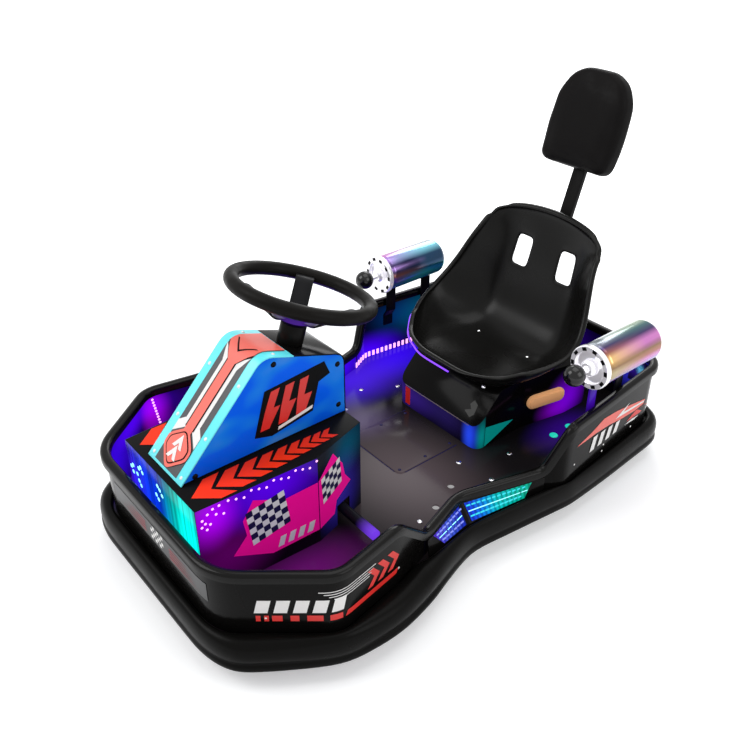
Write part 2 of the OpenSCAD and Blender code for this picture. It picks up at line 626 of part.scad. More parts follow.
// Rolled edge: one more ring of points round the seat, curled out and down
rim_out = 10;
rim_drop = 8;
function seat_at(i, j) = seat_point(min(max(i, 0), seat_rows), min(max(j, 0), seat_cols));
function seat_way(i, j) = let (a = seat_at(i, j) - seat_at(i < 0 ? 1 : i > seat_rows ? seat_rows - 1 : i, j),
        b = seat_at(i, j) - seat_at(i, j < 0 ? 1 : j > seat_cols ? seat_cols - 1 : j))
    unit((norm(a) > 0 ? unit(a) : a) + (norm(b) > 0 ? unit(b) : b));
function seat_up(i, j) = seat_normal(min(max(i, 0), seat_rows), min(max(j, 0), seat_cols));
function on_rim(i, j) = i < 0 || j < 0 || i > seat_rows || j > seat_cols;
function seat_face(i, j) = on_rim(i, j) ? seat_at(i, j) + rim_out * seat_way(i, j) - rim_drop * seat_up(i, j) : seat_point(i, j);
function seat_back(i, j) = seat_face(i, j) -
    seat_t * (on_rim(i, j) ? unit(seat_up(i, j) + seat_way(i, j)) : seat_normal(i, j));
module seat_shell() {
    face = [for (i = [-1 : seat_rows + 1]) [for (j = [-1 : seat_cols + 1]) seat_face(i, j)]];
    back = [for (i = [-1 : seat_rows + 1]) [for (j = [-1 : seat_cols + 1]) seat_back(i, j)]];
    keep = [for (i = [-1 : seat_rows]) [for (j = [-1 : seat_cols])
        let (u = abs(2 * (j + 0.5) / seat_cols - 1), v = (i + 0.5) / seat_rows)
        !(u > 0.25 && u < 0.5 && v > 0.79 && v < 0.89)]];
    color([0.04, 0.04, 0.05]) grid_shell(face, back, keep);
}

// Headrest: a leaning flat post on the battery box, with the pad on its front
post_lean = 18;
post_w = 36;
post_t = 14;
post_y = 492;
post_l = 620;
pad_from = 456;
module on_post() translate([0, post_y, box_z]) rotate([-post_lean, 0, 0]) children();
module headrest_post() {
    foot_t = 5;
    color([0.05, 0.05, 0.05]) {
        translate([-post_w / 2 - 15, post_y - 24, box_z]) cube([post_w + 30, 48, foot_t]);
        on_post() translate([-post_w / 2, -post_t / 2, foot_t - 1]) cube([post_w, post_t, post_l]);
    }
}
module headrest_pad() {
    half = eased([[0, 0], [pad_w * 0.464, 0], [pad_w * 0.5, pad_h * 0.33], [pad_w * 0.47, pad_h * 0.73],
        [pad_w * 0.35, pad_h * 0.915], [pad_w * 0.18, pad_h], [0, pad_h]], [0, 28, 40, 30, 30, 20, 0], 6);
    color([0.05, 0.05, 0.06]) on_post() translate([0, -post_t / 2 - seat_gap, pad_from])
        rotate([90, 0, 0]) linear_extrude(pad_t) polygon(mirrored(half));
}

// Bottle frames: along the car above the rear side walls, the left one higher and further back
wall_turn = atan2(hip_hw - tail_hw, tail_side_y - hip_y);
bottle_x = 355;
bottle_y = 285;
bottle_lag = 12;
module on_rear_wall() translate([hip_hw, hip_y, 0]) rotate([0, 0, wall_turn]) children();
module on_bottle(s) translate([bottle_x, bottle_y + s * bottle_lag, bottle_z + s * bottle_step]) rotate([-90, 0, 0]) children();
module both_bottles() for (s = [1, -1]) mirror([(1 - s) / 2, 0, 0]) on_bottle(s) children();
collar_l = 16;
module bottles() {
    dome = 16;
    color([0.5, 0.5, 0.8]) both_bottles() rotate_extrude() polygon([[0, 0], [bottle_r - 6, 0], [bottle_r, 8],
        [bottle_r, bottle_l - dome], [bottle_r - 5, bottle_l - dome * 0.4], [bottle_r - 16, bottle_l], [0, bottle_l]]);
}
stem_l = 34;
stem_hole_r = 8;
valve_r = 20;
collar_web = 6;
module bottle_collars() {
    flange = bottle_r + 3;
    lip = bottle_r * 0.78;
    color([0.8, 0.8, 0.82]) both_bottles() rotate_extrude() polygon([[0, 0], [0, -collar_l - stem_l],
        [stem_hole_r, -collar_l - stem_l], [stem_hole_r, -collar_l - 8], [valve_r * 0.7, -collar_l - 8],
        [valve_r, -collar_l - 2], [valve_r, -collar_web], [lip, -collar_web], [lip, -collar_l],
        [flange - 2, -collar_l], [flange, -collar_l + 2], [flange, -4], [bottle_r - 8, 0]]);
}
module bottle_knobs() {
    sunk = 10;
    color([0.04, 0.04, 0.04]) both_bottles() translate([0, 0, -collar_l - stem_l + sunk - knob_r]) difference() {
        sphere(r = knob_r);
        translate([0, 0, knob_r - sunk]) cylinder(r = stem_hole_r + fit_gap, h = sunk + 1);
    }
}
arm_t = 5;
arm_w = 30;
arm_foot = 78;
arm_clear = 4;
module bottle_brackets() {
    foot_low = rear_z - arm_foot;
    joggle = rear_z - 2.4 * trim_d;
    inner = -sheet_t / 2;
    clear = -trim_hw - arm_clear;
    line = [[inner - arm_t / 2, foot_low], [inner - arm_t / 2, joggle - 1.8 * trim_hw], [clear - arm_t / 2, joggle],
        [clear - arm_t / 2, bottle_z + bottle_step - bottle_r * 0.6]];
    color([0.06, 0.06, 0.07]) for (s = [1, -1]) mirror([(1 - s) / 2, 0, 0]) difference() {
        for (d = [0.14, 0.74]) on_rear_wall() translate([0, bottle_y - hip_y + s * bottle_lag + d * bottle_l, 0])
            rotate([90, 0, 0]) linear_extrude(arm_w, center = true) strip(line, arm_t);
        on_bottle(s) cylinder(r = bottle_r + seat_gap, h = 3 * bottle_l, center = true);
        translate([bottle_x - bottle_r, 0, bottle_z + s * bottle_step]) cube([2 * bottle_r, 2 * tail_y, bottle_r]);
    }
}

// Upright cheek with a round foot at the axle, as thick as t along X
module cheek_plate(w, h, t) {
    along_x(t / 2) polygon(concat([for (a = [180 : 15 : 360]) w / 2 * [cos(a), sin(a)]], [[w / 2, h], [-w / 2, h]]));
}

// Rear wheel brackets with their axles, under the floor
rear_pin_r = 6;
hub_side = rear_w / 2 + 4;
rear_cheek_t = 4;
rear_cheek_w = 28;
rear_plate_t = 6;
rear_plate_l = 52;
module rear_brackets() {
    cheek = rear_cheek_t;
    plate_t = rear_plate_t;
    hw = hub_side + seat_gap;
    color([0.25, 0.25, 0.27]) for (s = [-1, 1]) translate([s * rear_x, rear_wheel_y, 0]) {
        translate([-hw - cheek, -rear_plate_l / 2, floor_low - plate_t]) cube([2 * (hw + cheek), rear_plate_l, plate_t]);
        for (e = [-1, 1]) translate([e * (hw + cheek / 2), 0, rear_r])
            cheek_plate(rear_cheek_w, floor_low - plate_t - rear_r + 1, cheek);
        translate([0, 0, rear_r]) rotate([0, 90, 0]) cylinder(r = rear_pin_r, h = 2 * hw + cheek, center = true);
    }
}

// Tyre with round shoulders and the hub inside it, turning about X
module tyre(r, w, bore) {
    rotate([0, 90, 0]) rotate_extrude() polygon([[bore, -w * 0.42], [lerp(bore, r, 0.4), -w / 2], [lerp(bore, r, 0.78), -w * 0.48],
        [r, -w * 0.3], [r, w * 0.3], [lerp(bore, r, 0.78), w * 0.48], [lerp(bore, r, 0.4), w / 2], [bore, w * 0.42]]);
}
module hub(r, w, half, pin) {
    rotate([0, 90, 0]) rotate_extrude() polygon([[pin, -half], [pin + 8, -half], [pin + 10, -w * 0.25], [r - 8, -w * 0.25],
        [r - 5, -w * 0.42], [r, -w * 0.42], [r, w * 0.42], [r - 5, w * 0.42], [r - 8, w * 0.25], [pin + 10, w * 0.25],
        [pin + 8, half], [pin, half]]);
}
rear_bore = rear_r * 0.66;
module rear_tyre(s) color([0.1, 0.1, 0.1]) translate([s * rear_x, rear_wheel_y, rear_r]) tyre(rear_r, rear_w, rear_bore);
module rear_hub(s) color([0.6, 0.6, 0.62]) translate([s * rear_x, rear_wheel_y, rear_r])
    hub(rear_bore - fit_gap, rear_w, hub_side, rear_pin_r + fit_gap);
module rear_tyre_left() rear_tyre(1);
module rear_tyre_right() rear_tyre(-1);
module rear_hub_left() rear_hub(1);
module rear_hub_right() rear_hub(-1);

// Drive wheel and the fork that steers it
drive_pin_r = 8;
drive_bore = drive_r * 0.66;
drive_side = drive_w / 2 + free_gap - seat_gap;
module drive_tyre() color([0.1, 0.1, 0.1]) translate([0, -drive_y, drive_r]) tyre(drive_r, drive_w, drive_bore);
module drive_hub() color([0.5, 0.5, 0.52]) translate([0, -drive_y, drive_r])
    hub(drive_bore - fit_gap, drive_w, drive_side, drive_pin_r + fit_gap);
module fork() {
    cheek = 8;
    cheek_y = 44;
    inner = drive_w / 2 + free_gap;
    stem_top = 70;
    color([0.3, 0.3, 0.33]) translate([0, -drive_y, 0]) {
        for (e = [-1, 1]) translate([e * (inner + cheek / 2), 0, drive_r])
            cheek_plate(cheek_y, crown_z - drive_r + 1, cheek);
        translate([0, 0, drive_r]) rotate([0, 90, 0]) cylinder(r = drive_pin_r, h = 2 * inner + cheek, center = true);
        translate([0, 0, crown_z]) cylinder(r = norm([inner + cheek, cheek_y / 2]) + 3, h = crown_t);
        translate([0, 0, crown_z]) cylinder(r = stem_r + 10, h = crown_t + free_gap - seat_gap);
        translate([0, 0, crown_z]) cylinder(r = stem_r, h = crown_t + free_gap + bearing_t + stem_top);
        translate([0, 0, bearing_z + bearing_t + seat_gap]) cylinder(r = stem_r + 9, h = 14);
    }
}

placed() floor_pan();
placed() chassis_frame();
placed() bumper_band();
placed() bumper();
placed() front_wall();
placed() rear_wall();
placed() sill_inner();
placed() sill_panels();
placed() sill_lenses();
placed() front_trim();
placed() rear_trim();
placed() sill_trim();
placed() console_base();
placed() fork_bearing();
placed() console_panels();
placed() console_cover();
placed() console_back();
placed() column_boss();
placed() pedals();
placed() floor_hatch();
placed() battery_box();
placed() battery();
placed() seat_shell();
placed() headrest_post();
placed() headrest_pad();
placed() bottles();
placed() bottle_collars();
placed() bottle_knobs();
placed() bottle_brackets();
placed() marker_lamps();
placed() rear_brackets();
placed() steering_rim();
placed() steering_spider();
placed() fork();
placed() drive_tyre();
placed() drive_hub();
placed() rear_tyre_left();
placed() rear_hub_left();
placed() rear_tyre_right();
placed() rear_hub_right();
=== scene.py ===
import json
import math

import bmesh
import bpy
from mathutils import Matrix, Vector

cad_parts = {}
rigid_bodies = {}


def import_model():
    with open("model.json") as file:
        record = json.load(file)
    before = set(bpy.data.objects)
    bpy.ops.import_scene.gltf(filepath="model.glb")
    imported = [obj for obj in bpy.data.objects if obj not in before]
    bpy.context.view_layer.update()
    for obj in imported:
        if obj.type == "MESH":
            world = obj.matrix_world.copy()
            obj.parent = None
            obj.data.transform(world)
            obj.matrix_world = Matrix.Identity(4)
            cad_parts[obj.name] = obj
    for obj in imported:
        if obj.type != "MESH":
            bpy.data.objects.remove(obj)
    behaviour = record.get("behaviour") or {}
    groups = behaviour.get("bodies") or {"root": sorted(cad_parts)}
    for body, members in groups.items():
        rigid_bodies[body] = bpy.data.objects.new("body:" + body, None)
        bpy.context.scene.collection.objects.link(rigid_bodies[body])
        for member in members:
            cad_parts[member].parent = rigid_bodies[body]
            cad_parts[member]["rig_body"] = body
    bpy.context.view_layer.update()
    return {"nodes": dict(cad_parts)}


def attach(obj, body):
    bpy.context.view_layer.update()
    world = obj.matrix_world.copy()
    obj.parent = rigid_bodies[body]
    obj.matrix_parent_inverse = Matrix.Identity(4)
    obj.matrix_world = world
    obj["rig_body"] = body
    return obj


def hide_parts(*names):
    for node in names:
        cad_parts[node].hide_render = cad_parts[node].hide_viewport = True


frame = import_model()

bl_info = {
    "name": "Bumper car",
    "version": (1, 0, 0),
    "blender": (4, 5, 0),
    "location": "View3D > Sidebar > Bumper car",
    "description": "Skins, graphics, lights and stage for a children's bumper car",
    "category": "Object",
}

MM = 0.001
# How far the tub's own zero lies from the middle of the car's length, in millimetres
MIDDLE_Y = -17.5
GROUPS = {}
PAINTS = {}

# Plan points of the tub in millimetres, from the middle of the nose or tail to the sill
NOSE_LINE = [(0, -634), (240, -634), (390, -449), (362, -283), (334, -185)]
NOSE_EASE = [0, 60, 30, 22, 0]
TAIL_LINE = [(0, 637), (266, 637), (336, 600), (376, 222), (350, 172)]
TAIL_EASE = [0, 35, 35, 18, 0]
# Heights of level faces and places of front faces, in the same millimetres
FLOOR_TOP, HATCH_TOP, BASE_TOP = 100, 103, 330
BASE_FRONT, COVER_FRONT, BOX_FRONT = -606, -589, 158
# How far out both bottles lie, and the side, the front end and the height of each
BOTTLE_X = 355
BOTTLES = ((1, 297, 398), (-1, 273, 366))
SIDES = (("left", 1), ("right", -1))
ACROSS, BACK, UP = (1, 0, 0), (0, 1, 0), (0, 0, 1)


def tub(p):
    """Place in the scene, in metres, of a point in the tub's millimetres"""
    return Vector((p[0], p[1] + MIDDLE_Y, p[2])) * MM


def length_prop(label, metres):
    return bpy.props.FloatProperty(name=label, default=metres, unit="LENGTH", precision=4)


def colour_prop(label, r, g, b):
    limits = {"size": 3, "min": 0, "max": 1}
    return bpy.props.FloatVectorProperty(name=label, subtype="COLOR", default=(r, g, b), **limits)


class CarSizes(bpy.types.PropertyGroup):
    """Sizes of what the skins add to the solid model, in metres"""

    sheet: length_prop("Tub sheet", 0.003)
    lift: length_prop("Lift of a graphic", 0.0005)
    panel_x: length_prop("Console panel half width", 0.067)
    rivet_r: length_prop("Rivet radius", 0.0026)
    dash: length_prop("Light dash length", 0.046)
    dash_pitch: length_prop("Light dash pitch", 0.050)
    trim_half: length_prop("Edge trim half width", 0.0115)
    seat_wall: length_prop("Seat wall", 0.006)
    pad_cell: length_prop("Cell of the pad's mesh", 0.005)
    pad_swell: length_prop("Most swell of the pad", 0.008)


class CarColours(bpy.types.PropertyGroup):
    """Colours of the car, linear"""

    rubber: colour_prop("Bumper rubber", 0.0036, 0.0034, 0.0031)
    black: colour_prop("Gloss black", 0.0035, 0.0032, 0.0030)
    satin: colour_prop("Satin black", 0.006, 0.0055, 0.0052)
    grey: colour_prop("Floor grey", 0.010, 0.0085, 0.0095)
    blue: colour_prop("Panel blue", 0.0, 0.115, 0.92)
    cyan: colour_prop("Cover cyan", 0.14, 0.86, 0.93)
    coral: colour_prop("Cover coral", 0.92, 0.16, 0.12)
    orange: colour_prop("Chevron red", 0.93, 0.035, 0.006)
    red: colour_prop("Graphic red", 0.75, 0.018, 0.012)
    magenta: colour_prop("Sticker magenta", 0.84, 0.004, 0.27)
    navy: colour_prop("Chequer navy", 0.012, 0.010, 0.06)
    white: colour_prop("Graphic white", 0.86, 0.84, 0.82)
    violet: colour_prop("Violet light", 0.17, 0.02, 1.0)
    amber: colour_prop("Amber lens", 0.72, 0.28, 0.06)


def sizes():
    return bpy.context.scene.car_sizes


def tint(name):
    return tuple(getattr(bpy.context.scene.car_colours, name))


# Shader groups
def new_group(name, inputs, outputs):
    tree = bpy.data.node_groups.new(name, "ShaderNodeTree")
    for label, kind, value in inputs:
        socket = tree.interface.new_socket(label, in_out="INPUT", socket_type=kind)
        socket.default_value = value
    for label, kind in outputs:
        tree.interface.new_socket(label, in_out="OUTPUT", socket_type=kind)
    GROUPS[name] = tree
    return tree, tree.nodes.new("NodeGroupInput"), tree.nodes.new("NodeGroupOutput")


def make_groups():
    vec, num = "NodeSocketVector", "NodeSocketFloat"
    inputs = [("Centre", vec, (0, 0, 0)), ("Reach", vec, (1, 1, 1))]
    tree, start, end = new_group("Light pool", inputs, [("Fac", num)])
    coord = tree.nodes.new("ShaderNodeTexCoord")
    away = vector_math(tree, "SUBTRACT", coord.outputs["Object"], start.outputs["Centre"])
    share = vector_math(tree, "DIVIDE", away, start.outputs["Reach"])
    fade = map_range(tree, vector_length(tree, share), 0, 1, 1, 0, "SMOOTHSTEP")
    tree.links.new(fade.outputs["Result"], end.inputs["Fac"])

    inputs = [("Stretch", vec, (1, 1, 1)), ("Low", num, 0.0), ("High", num, 1.0), ("Detail", num, 2.0)]
    tree, start, end = new_group("Patches", inputs, [("Fac", num)])
    coord = tree.nodes.new("ShaderNodeTexCoord")
    spread = vector_math(tree, "MULTIPLY", coord.outputs["Object"], start.outputs["Stretch"])
    noise = tree.nodes.new("ShaderNodeTexNoise")
    noise.inputs["Scale"].default_value = 1
    tree.links.new(start.outputs["Detail"], noise.inputs["Detail"])
    tree.links.new(spread, noise.inputs["Vector"])
    level = map_range(tree, noise.outputs["Fac"], 0.32, 0.68)
    tree.links.new(start.outputs["Low"], level.inputs["To Min"])
    tree.links.new(start.outputs["High"], level.inputs["To Max"])
    tree.links.new(level.outputs["Result"], end.inputs["Fac"])


def math_node(tree, kind, operation, values):
    """Math node whose inputs are linked or set in order"""
    node = tree.nodes.new(kind)
    node.operation = operation
    for socket, value in zip(node.inputs, values):
        if isinstance(value, bpy.types.NodeSocket):
            tree.links.new(value, socket)
        else:
            socket.default_value = value
    return node


def number_math(tree, operation, *values):
    return math_node(tree, "ShaderNodeMath", operation, values).outputs[0]


def vector_math(tree, operation, *values):
    return math_node(tree, "ShaderNodeVectorMath", operation, values).outputs[0]


def vector_length(tree, vector):
    return math_node(tree, "ShaderNodeVectorMath", "LENGTH", [vector]).outputs["Value"]


def scaled(tree, vector, factor):
    node = math_node(tree, "ShaderNodeVectorMath", "SCALE", [vector])
    tree.links.new(factor, node.inputs["Scale"])
    return node.outputs[0]


def map_range(tree, value, start, end, low=0.0, high=1.0, curve="LINEAR"):
    node = tree.nodes.new("ShaderNodeMapRange")
    node.interpolation_type = curve
    for key, number in (("From Min", start), ("From Max", end), ("To Min", low), ("To Max", high)):
        node.inputs[key].default_value = number
    tree.links.new(value, node.inputs["Value"])
    return node


def use_group(tree, name, **values):
    node = tree.nodes.new("ShaderNodeGroup")
    node.node_tree = GROUPS[name]
    for key, value in values.items():
        node.inputs[key.replace("_", " ").capitalize()].default_value = value
    return node


# Materials
def paint(name, colour, rough, metal=0.0, emit=None, power=0.0, wear=None, specular=0.5):
    mat = bpy.data.materials.new(name)
    mat.use_nodes = True
    tree = mat.node_tree
    bsdf = tree.nodes["Principled BSDF"]
    bsdf.inputs["Base Color"].default_value = (*colour, 1)
    bsdf.inputs["Roughness"].default_value = rough
    bsdf.inputs["Metallic"].default_value = metal
    bsdf.inputs["Specular IOR Level"].default_value = specular
    if emit:
        bsdf.inputs["Emission Color"].default_value = (*emit, 1)
        bsdf.inputs["Emission Strength"].default_value = power
    if wear:
        patch = use_group(tree, "Patches", stretch=wear, low=rough * 0.8, high=rough * 1.25)
        tree.links.new(patch.outputs["Fac"], bsdf.inputs["Roughness"])
    PAINTS[name] = mat
    return mat


def glow_paint(name, colour, rough, pools, streak=None, specular=0.06):
    """Paint that carries pools of painted light, coloured glow standing for light and reflections on the
    surface: (centre mm, reach mm, colour, power)
    """
    mat = paint(name, colour, rough, specular=specular)
    tree = mat.node_tree
    bsdf = tree.nodes["Principled BSDF"]
    total = None
    for centre, reach, shade, power in pools:
        pool = use_group(tree, "Light pool", centre=tub(centre), reach=Vector(reach) * MM)
        part = scaled(tree, Vector(shade) * power, pool.outputs["Fac"])
        total = part if total is None else vector_math(tree, "ADD", total, part)
    if streak:
        patch = use_group(tree, "Patches", stretch=streak, low=0.45, high=1.25, detail=3.0)
        total = scaled(tree, total, patch.outputs["Fac"])
    tree.links.new(total, bsdf.inputs["Emission Color"])
    bsdf.inputs["Emission Strength"].default_value = 1
    return mat


def both_sides(pools):
    """Pools of light with their mirror images"""
    return pools + [((-x, y, z), *rest) for (x, y, z), *rest in pools]


def ramp_node(tree, stops, value):
    ramp = tree.nodes.new("ShaderNodeValToRGB")
    while len(ramp.color_ramp.elements) < len(stops):
        ramp.color_ramp.elements.new(0.5)
    for element, (place, shade) in zip(ramp.color_ramp.elements, stops):
        element.position = place
        element.color = (*shade, 1)
    tree.links.new(value, ramp.inputs["Fac"])
    return ramp.outputs["Color"]


# Mesh helpers
def add(name, mesh, mats, body="chassis", nodes=()):
    obj = bpy.data.objects.new(name, mesh)
    bpy.context.scene.collection.objects.link(obj)
    for mat in mats:
        mesh.materials.append(mat)
    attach(obj, body)
    if nodes:
        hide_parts(*nodes)
    return obj


def finish_mesh(bm, name, smooth):
    mesh = bpy.data.meshes.new(name)
    bm.to_mesh(mesh)
    bm.free()
    for face in mesh.polygons:
        face.use_smooth = True
    mesh.set_sharp_from_angle(angle=math.radians(smooth))
    return mesh


def cad_copy(node):
    bm = bmesh.new()
    bm.from_mesh(frame["nodes"][node].data)
    bmesh.ops.remove_doubles(bm, verts=bm.verts, dist=1e-5)
    return bm


def dress(node, mats, pick=None, bevel=0.0, steps=2, smooth=35.0, rounds=0):
    """A skin for one CAD node: same form, cleaned, with eased edges or rounded as a whole"""
    bm = cad_copy(node)
    if rounds:
        limits = {"angle_face_threshold": math.radians(60), "angle_shape_threshold": math.radians(120)}
        bmesh.ops.join_triangles(bm, faces=bm.faces, **limits)
    else:
        bmesh.ops.dissolve_limit(bm, angle_limit=math.radians(0.5), verts=bm.verts, edges=bm.edges)
    if bevel:
        sharp = [e for e in bm.edges if len(e.link_faces) == 2 and e.calc_face_angle() > math.radians(25)]
        ease = {"offset": bevel, "segments": steps, "profile": 0.5, "clamp_overlap": True}
        bmesh.ops.bevel(bm, geom=sharp, affect="EDGES", **ease)
    bm.normal_update()
    if pick:
        for face in bm.faces:
            face.material_index = pick(face.normal, face.calc_center_median())
    mesh = finish_mesh(bm, node + "_skin", smooth)
    obj = add(node + "_skin", mesh, mats, frame["nodes"][node]["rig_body"], [node])
    if rounds:
        mod = obj.modifiers.new("Round", "SUBSURF")
        mod.levels = rounds
        mod.render_levels = rounds
        settle(obj)
    return obj


def settle(obj):
    """Keep what the modifiers make as the object's own mesh"""
    graph = bpy.context.evaluated_depsgraph_get()
    mesh = bpy.data.meshes.new_from_object(obj.evaluated_get(graph), depsgraph=graph)
    old = obj.data
    obj.modifiers.clear()
    obj.data = mesh
    bpy.data.meshes.remove(old)
    return obj


# Surfaces for graphics: each takes two coordinates and a lift in millimetres and gives a place in metres
def flat(origin, across, up, out):
    origin, across, up = Vector(origin), Vector(across).normalized(), Vector(up).normalized()
    out = Vector(out).normalized()
    return lambda s, t, lift: tub(origin + across * s + up * t + out * lift)


def corner_lengths(line, ease):
    reach = [0.0]
    for a, b in zip(line, line[1:]):
        reach.append(reach[-1] + (Vector(b) - Vector(a)).length)
    cut = list(ease)
    for k in range(1, len(line) - 1):
        cut[k] = min(ease[k], 0.45 * (reach[k] - reach[k - 1]), 0.45 * (reach[k + 1] - reach[k]))
    return reach, cut


def hip_length():
    """Length along the tail's line from its middle to the hip"""
    return corner_lengths(TAIL_LINE, TAIL_EASE)[0][3]


def bend(p, b, q, t):
    """Point of the curve from p to q that is drawn towards b"""
    return p * (1 - t) ** 2 + b * (2 * t * (1 - t)) + q * t * t


def line_point(line, ease, s):
    """Place and direction at the length s along a line whose corners are eased"""
    reach, cut = corner_lengths(line, ease)
    for k in range(1, len(line) - 1):
        if cut[k] and abs(s - reach[k]) < cut[k]:
            b = Vector(line[k])
            p = b + (Vector(line[k - 1]) - b).normalized() * cut[k]
            q = b + (Vector(line[k + 1]) - b).normalized() * cut[k]
            t = (s - reach[k] + cut[k]) / (2 * cut[k])
            return bend(p, b, q, t), ((b - p) * (1 - t) + (q - b) * t).normalized()
    k = max(i for i in range(len(line) - 1) if reach[i] <= max(s, 0))
    way = (Vector(line[k + 1]) - Vector(line[k])).normalized()
    return Vector(line[k]) + way * (s - reach[k]), way


def line_cuts(line, ease):
    reach, cut = corner_lengths(line, ease)
    found = []
    for k in range(1, len(line) - 1):
        found += [reach[k] - cut[k] + 2 * cut[k] * n / 5 for n in range(6)]
    return found


def wall(line, ease, turn, stand):
    """Wall surface: s from the middle along the left half, negative on the right, t above the ground"""

    def place(s, t, lift):
        p, way = line_point(line, ease, abs(s))
        out = Vector((-way.y, way.x)) * turn
        p = p + out * (stand + lift)
        return tub((p.x if s >= 0 else -p.x, p.y, t))

    return place


def decal(name, shapes, surface, mat, layer=1, cuts=(), body="chassis"):
    """Flat shapes laid on a surface, split where the surface bends"""
    bm = bmesh.new()
    for shape in shapes:
        bm.faces.new([bm.verts.new((s, t, 0)) for s, t in shape])
    for cut in cuts:
        geom = bm.verts[:] + bm.edges[:] + bm.faces[:]
        bmesh.ops.bisect_plane(bm, geom=geom, plane_co=(cut, 0, 0), plane_no=(1, 0, 0))
    lift = sizes().lift / MM * layer
    for vert in bm.verts:
        vert.co = surface(vert.co.x, vert.co.y, lift)
    bm.normal_update()
    return add(name, finish_mesh(bm, name, 30), [mat], body)


def box_shape(s0, t0, s1, t1, slant=0.0):
    return [(s0, t0), (s1, t0), (s1 + slant, t1), (s0 + slant, t1)]


def chequer(origin, across, up, cols, rows, odd=0):
    """Every other cell of a skewed board"""
    o, a, u = Vector(origin), Vector(across), Vector(up)
    cells = [(i, j) for i in range(cols) for j in range(rows) if (i + j) % 2 == odd]
    corners = ((0, 0), (1, 0), (1, 1), (0, 1))
    return [[tuple(o + a * (i + x) + u * (j + y)) for x, y in corners] for i, j in cells]


def mirror(shapes):
    return [[(-s, t) for s, t in shape] for shape in shapes]


def tube(name, points, radius, mat, body="chassis"):
    """Thin round rod through points given in the tub's millimetres"""
    curve = bpy.data.curves.new(name, "CURVE")
    curve.dimensions = "3D"
    curve.bevel_depth = radius * MM
    curve.bevel_resolution = 2
    spline = curve.splines.new("BEZIER")
    spline.bezier_points.add(len(points) - 1)
    for knot, point in zip(spline.bezier_points, points):
        knot.co = tub(point)
        knot.handle_left_type = knot.handle_right_type = "AUTO"
    rod = bpy.data.objects.new(name, curve)
    bpy.context.scene.collection.objects.link(rod)
    graph = bpy.context.evaluated_depsgraph_get()
    mesh = bpy.data.meshes.new_from_object(rod.evaluated_get(graph), depsgraph=graph)
    bpy.data.objects.remove(rod)
    return add(name, mesh, [mat], body)


# Repeats made with Geometry Nodes
def repeat_tree(name, inputs):
    tree = bpy.data.node_groups.new(name, "GeometryNodeTree")
    tree.interface.new_socket("Geometry", in_out="INPUT", socket_type="NodeSocketGeometry")
    for label, kind, value in inputs:
        tree.interface.new_socket(label, in_out="INPUT", socket_type=kind).default_value = value
    tree.interface.new_socket("Material", in_out="INPUT", socket_type="NodeSocketMaterial")
    tree.interface.new_socket("Geometry", in_out="OUTPUT", socket_type="NodeSocketGeometry")
    start, end = tree.nodes.new("NodeGroupInput"), tree.nodes.new("NodeGroupOutput")
    turn = None
    for axis, attribute in (("Z", "facing"), ("X", "along")):
        named = tree.nodes.new("GeometryNodeInputNamedAttribute")
        named.data_type = "FLOAT_VECTOR"
        named.inputs["Name"].default_value = attribute
        align = tree.nodes.new("FunctionNodeAlignRotationToVector")
        align.axis = axis
        align.pivot_axis = "AUTO" if axis == "Z" else "Z"
        tree.links.new(named.outputs["Attribute"], align.inputs["Vector"])
        if turn:
            tree.links.new(turn, align.inputs["Rotation"])
        turn = align.outputs["Rotation"]
    put = tree.nodes.new("GeometryNodeInstanceOnPoints")
    real = tree.nodes.new("GeometryNodeRealizeInstances")
    coat = tree.nodes.new("GeometryNodeSetMaterial")
    tree.links.new(start.outputs["Geometry"], put.inputs["Points"])
    tree.links.new(turn, put.inputs["Rotation"])
    tree.links.new(put.outputs["Instances"], real.inputs["Geometry"])
    tree.links.new(real.outputs["Geometry"], coat.inputs["Geometry"])
    tree.links.new(start.outputs["Material"], coat.inputs["Material"])
    tree.links.new(coat.outputs["Geometry"], end.inputs["Geometry"])
    GROUPS[name] = tree
    return tree, start, put


def make_repeats():
    num = "NodeSocketFloat"
    tree, start, put = repeat_tree("Studs", [("Radius", num, 0.004), ("Height", num, 0.002)])
    head = tree.nodes.new("GeometryNodeMeshUVSphere")
    head.inputs["Segments"].default_value = 14
    head.inputs["Rings"].default_value = 8
    scale = tree.nodes.new("ShaderNodeCombineXYZ")
    form = tree.nodes.new("GeometryNodeTransform")
    for key, label in (("X", "Radius"), ("Y", "Radius"), ("Z", "Height")):
        tree.links.new(start.outputs[label], scale.inputs[key])
    tree.links.new(head.outputs["Mesh"], form.inputs["Geometry"])
    tree.links.new(scale.outputs["Vector"], form.inputs["Scale"])
    tree.links.new(form.outputs["Geometry"], put.inputs["Instance"])

    inputs = [("Length", num, 0.012), ("Width", num, 0.004), ("Height", num, 0.002)]
    tree, start, put = repeat_tree("Dashes", inputs)
    bar = tree.nodes.new("GeometryNodeMeshCube")
    scale = tree.nodes.new("ShaderNodeCombineXYZ")
    for key, label in (("X", "Length"), ("Y", "Width"), ("Z", "Height")):
        tree.links.new(start.outputs[label], scale.inputs[key])
    tree.links.new(scale.outputs["Vector"], bar.inputs["Size"])
    tree.links.new(bar.outputs["Mesh"], put.inputs["Instance"])


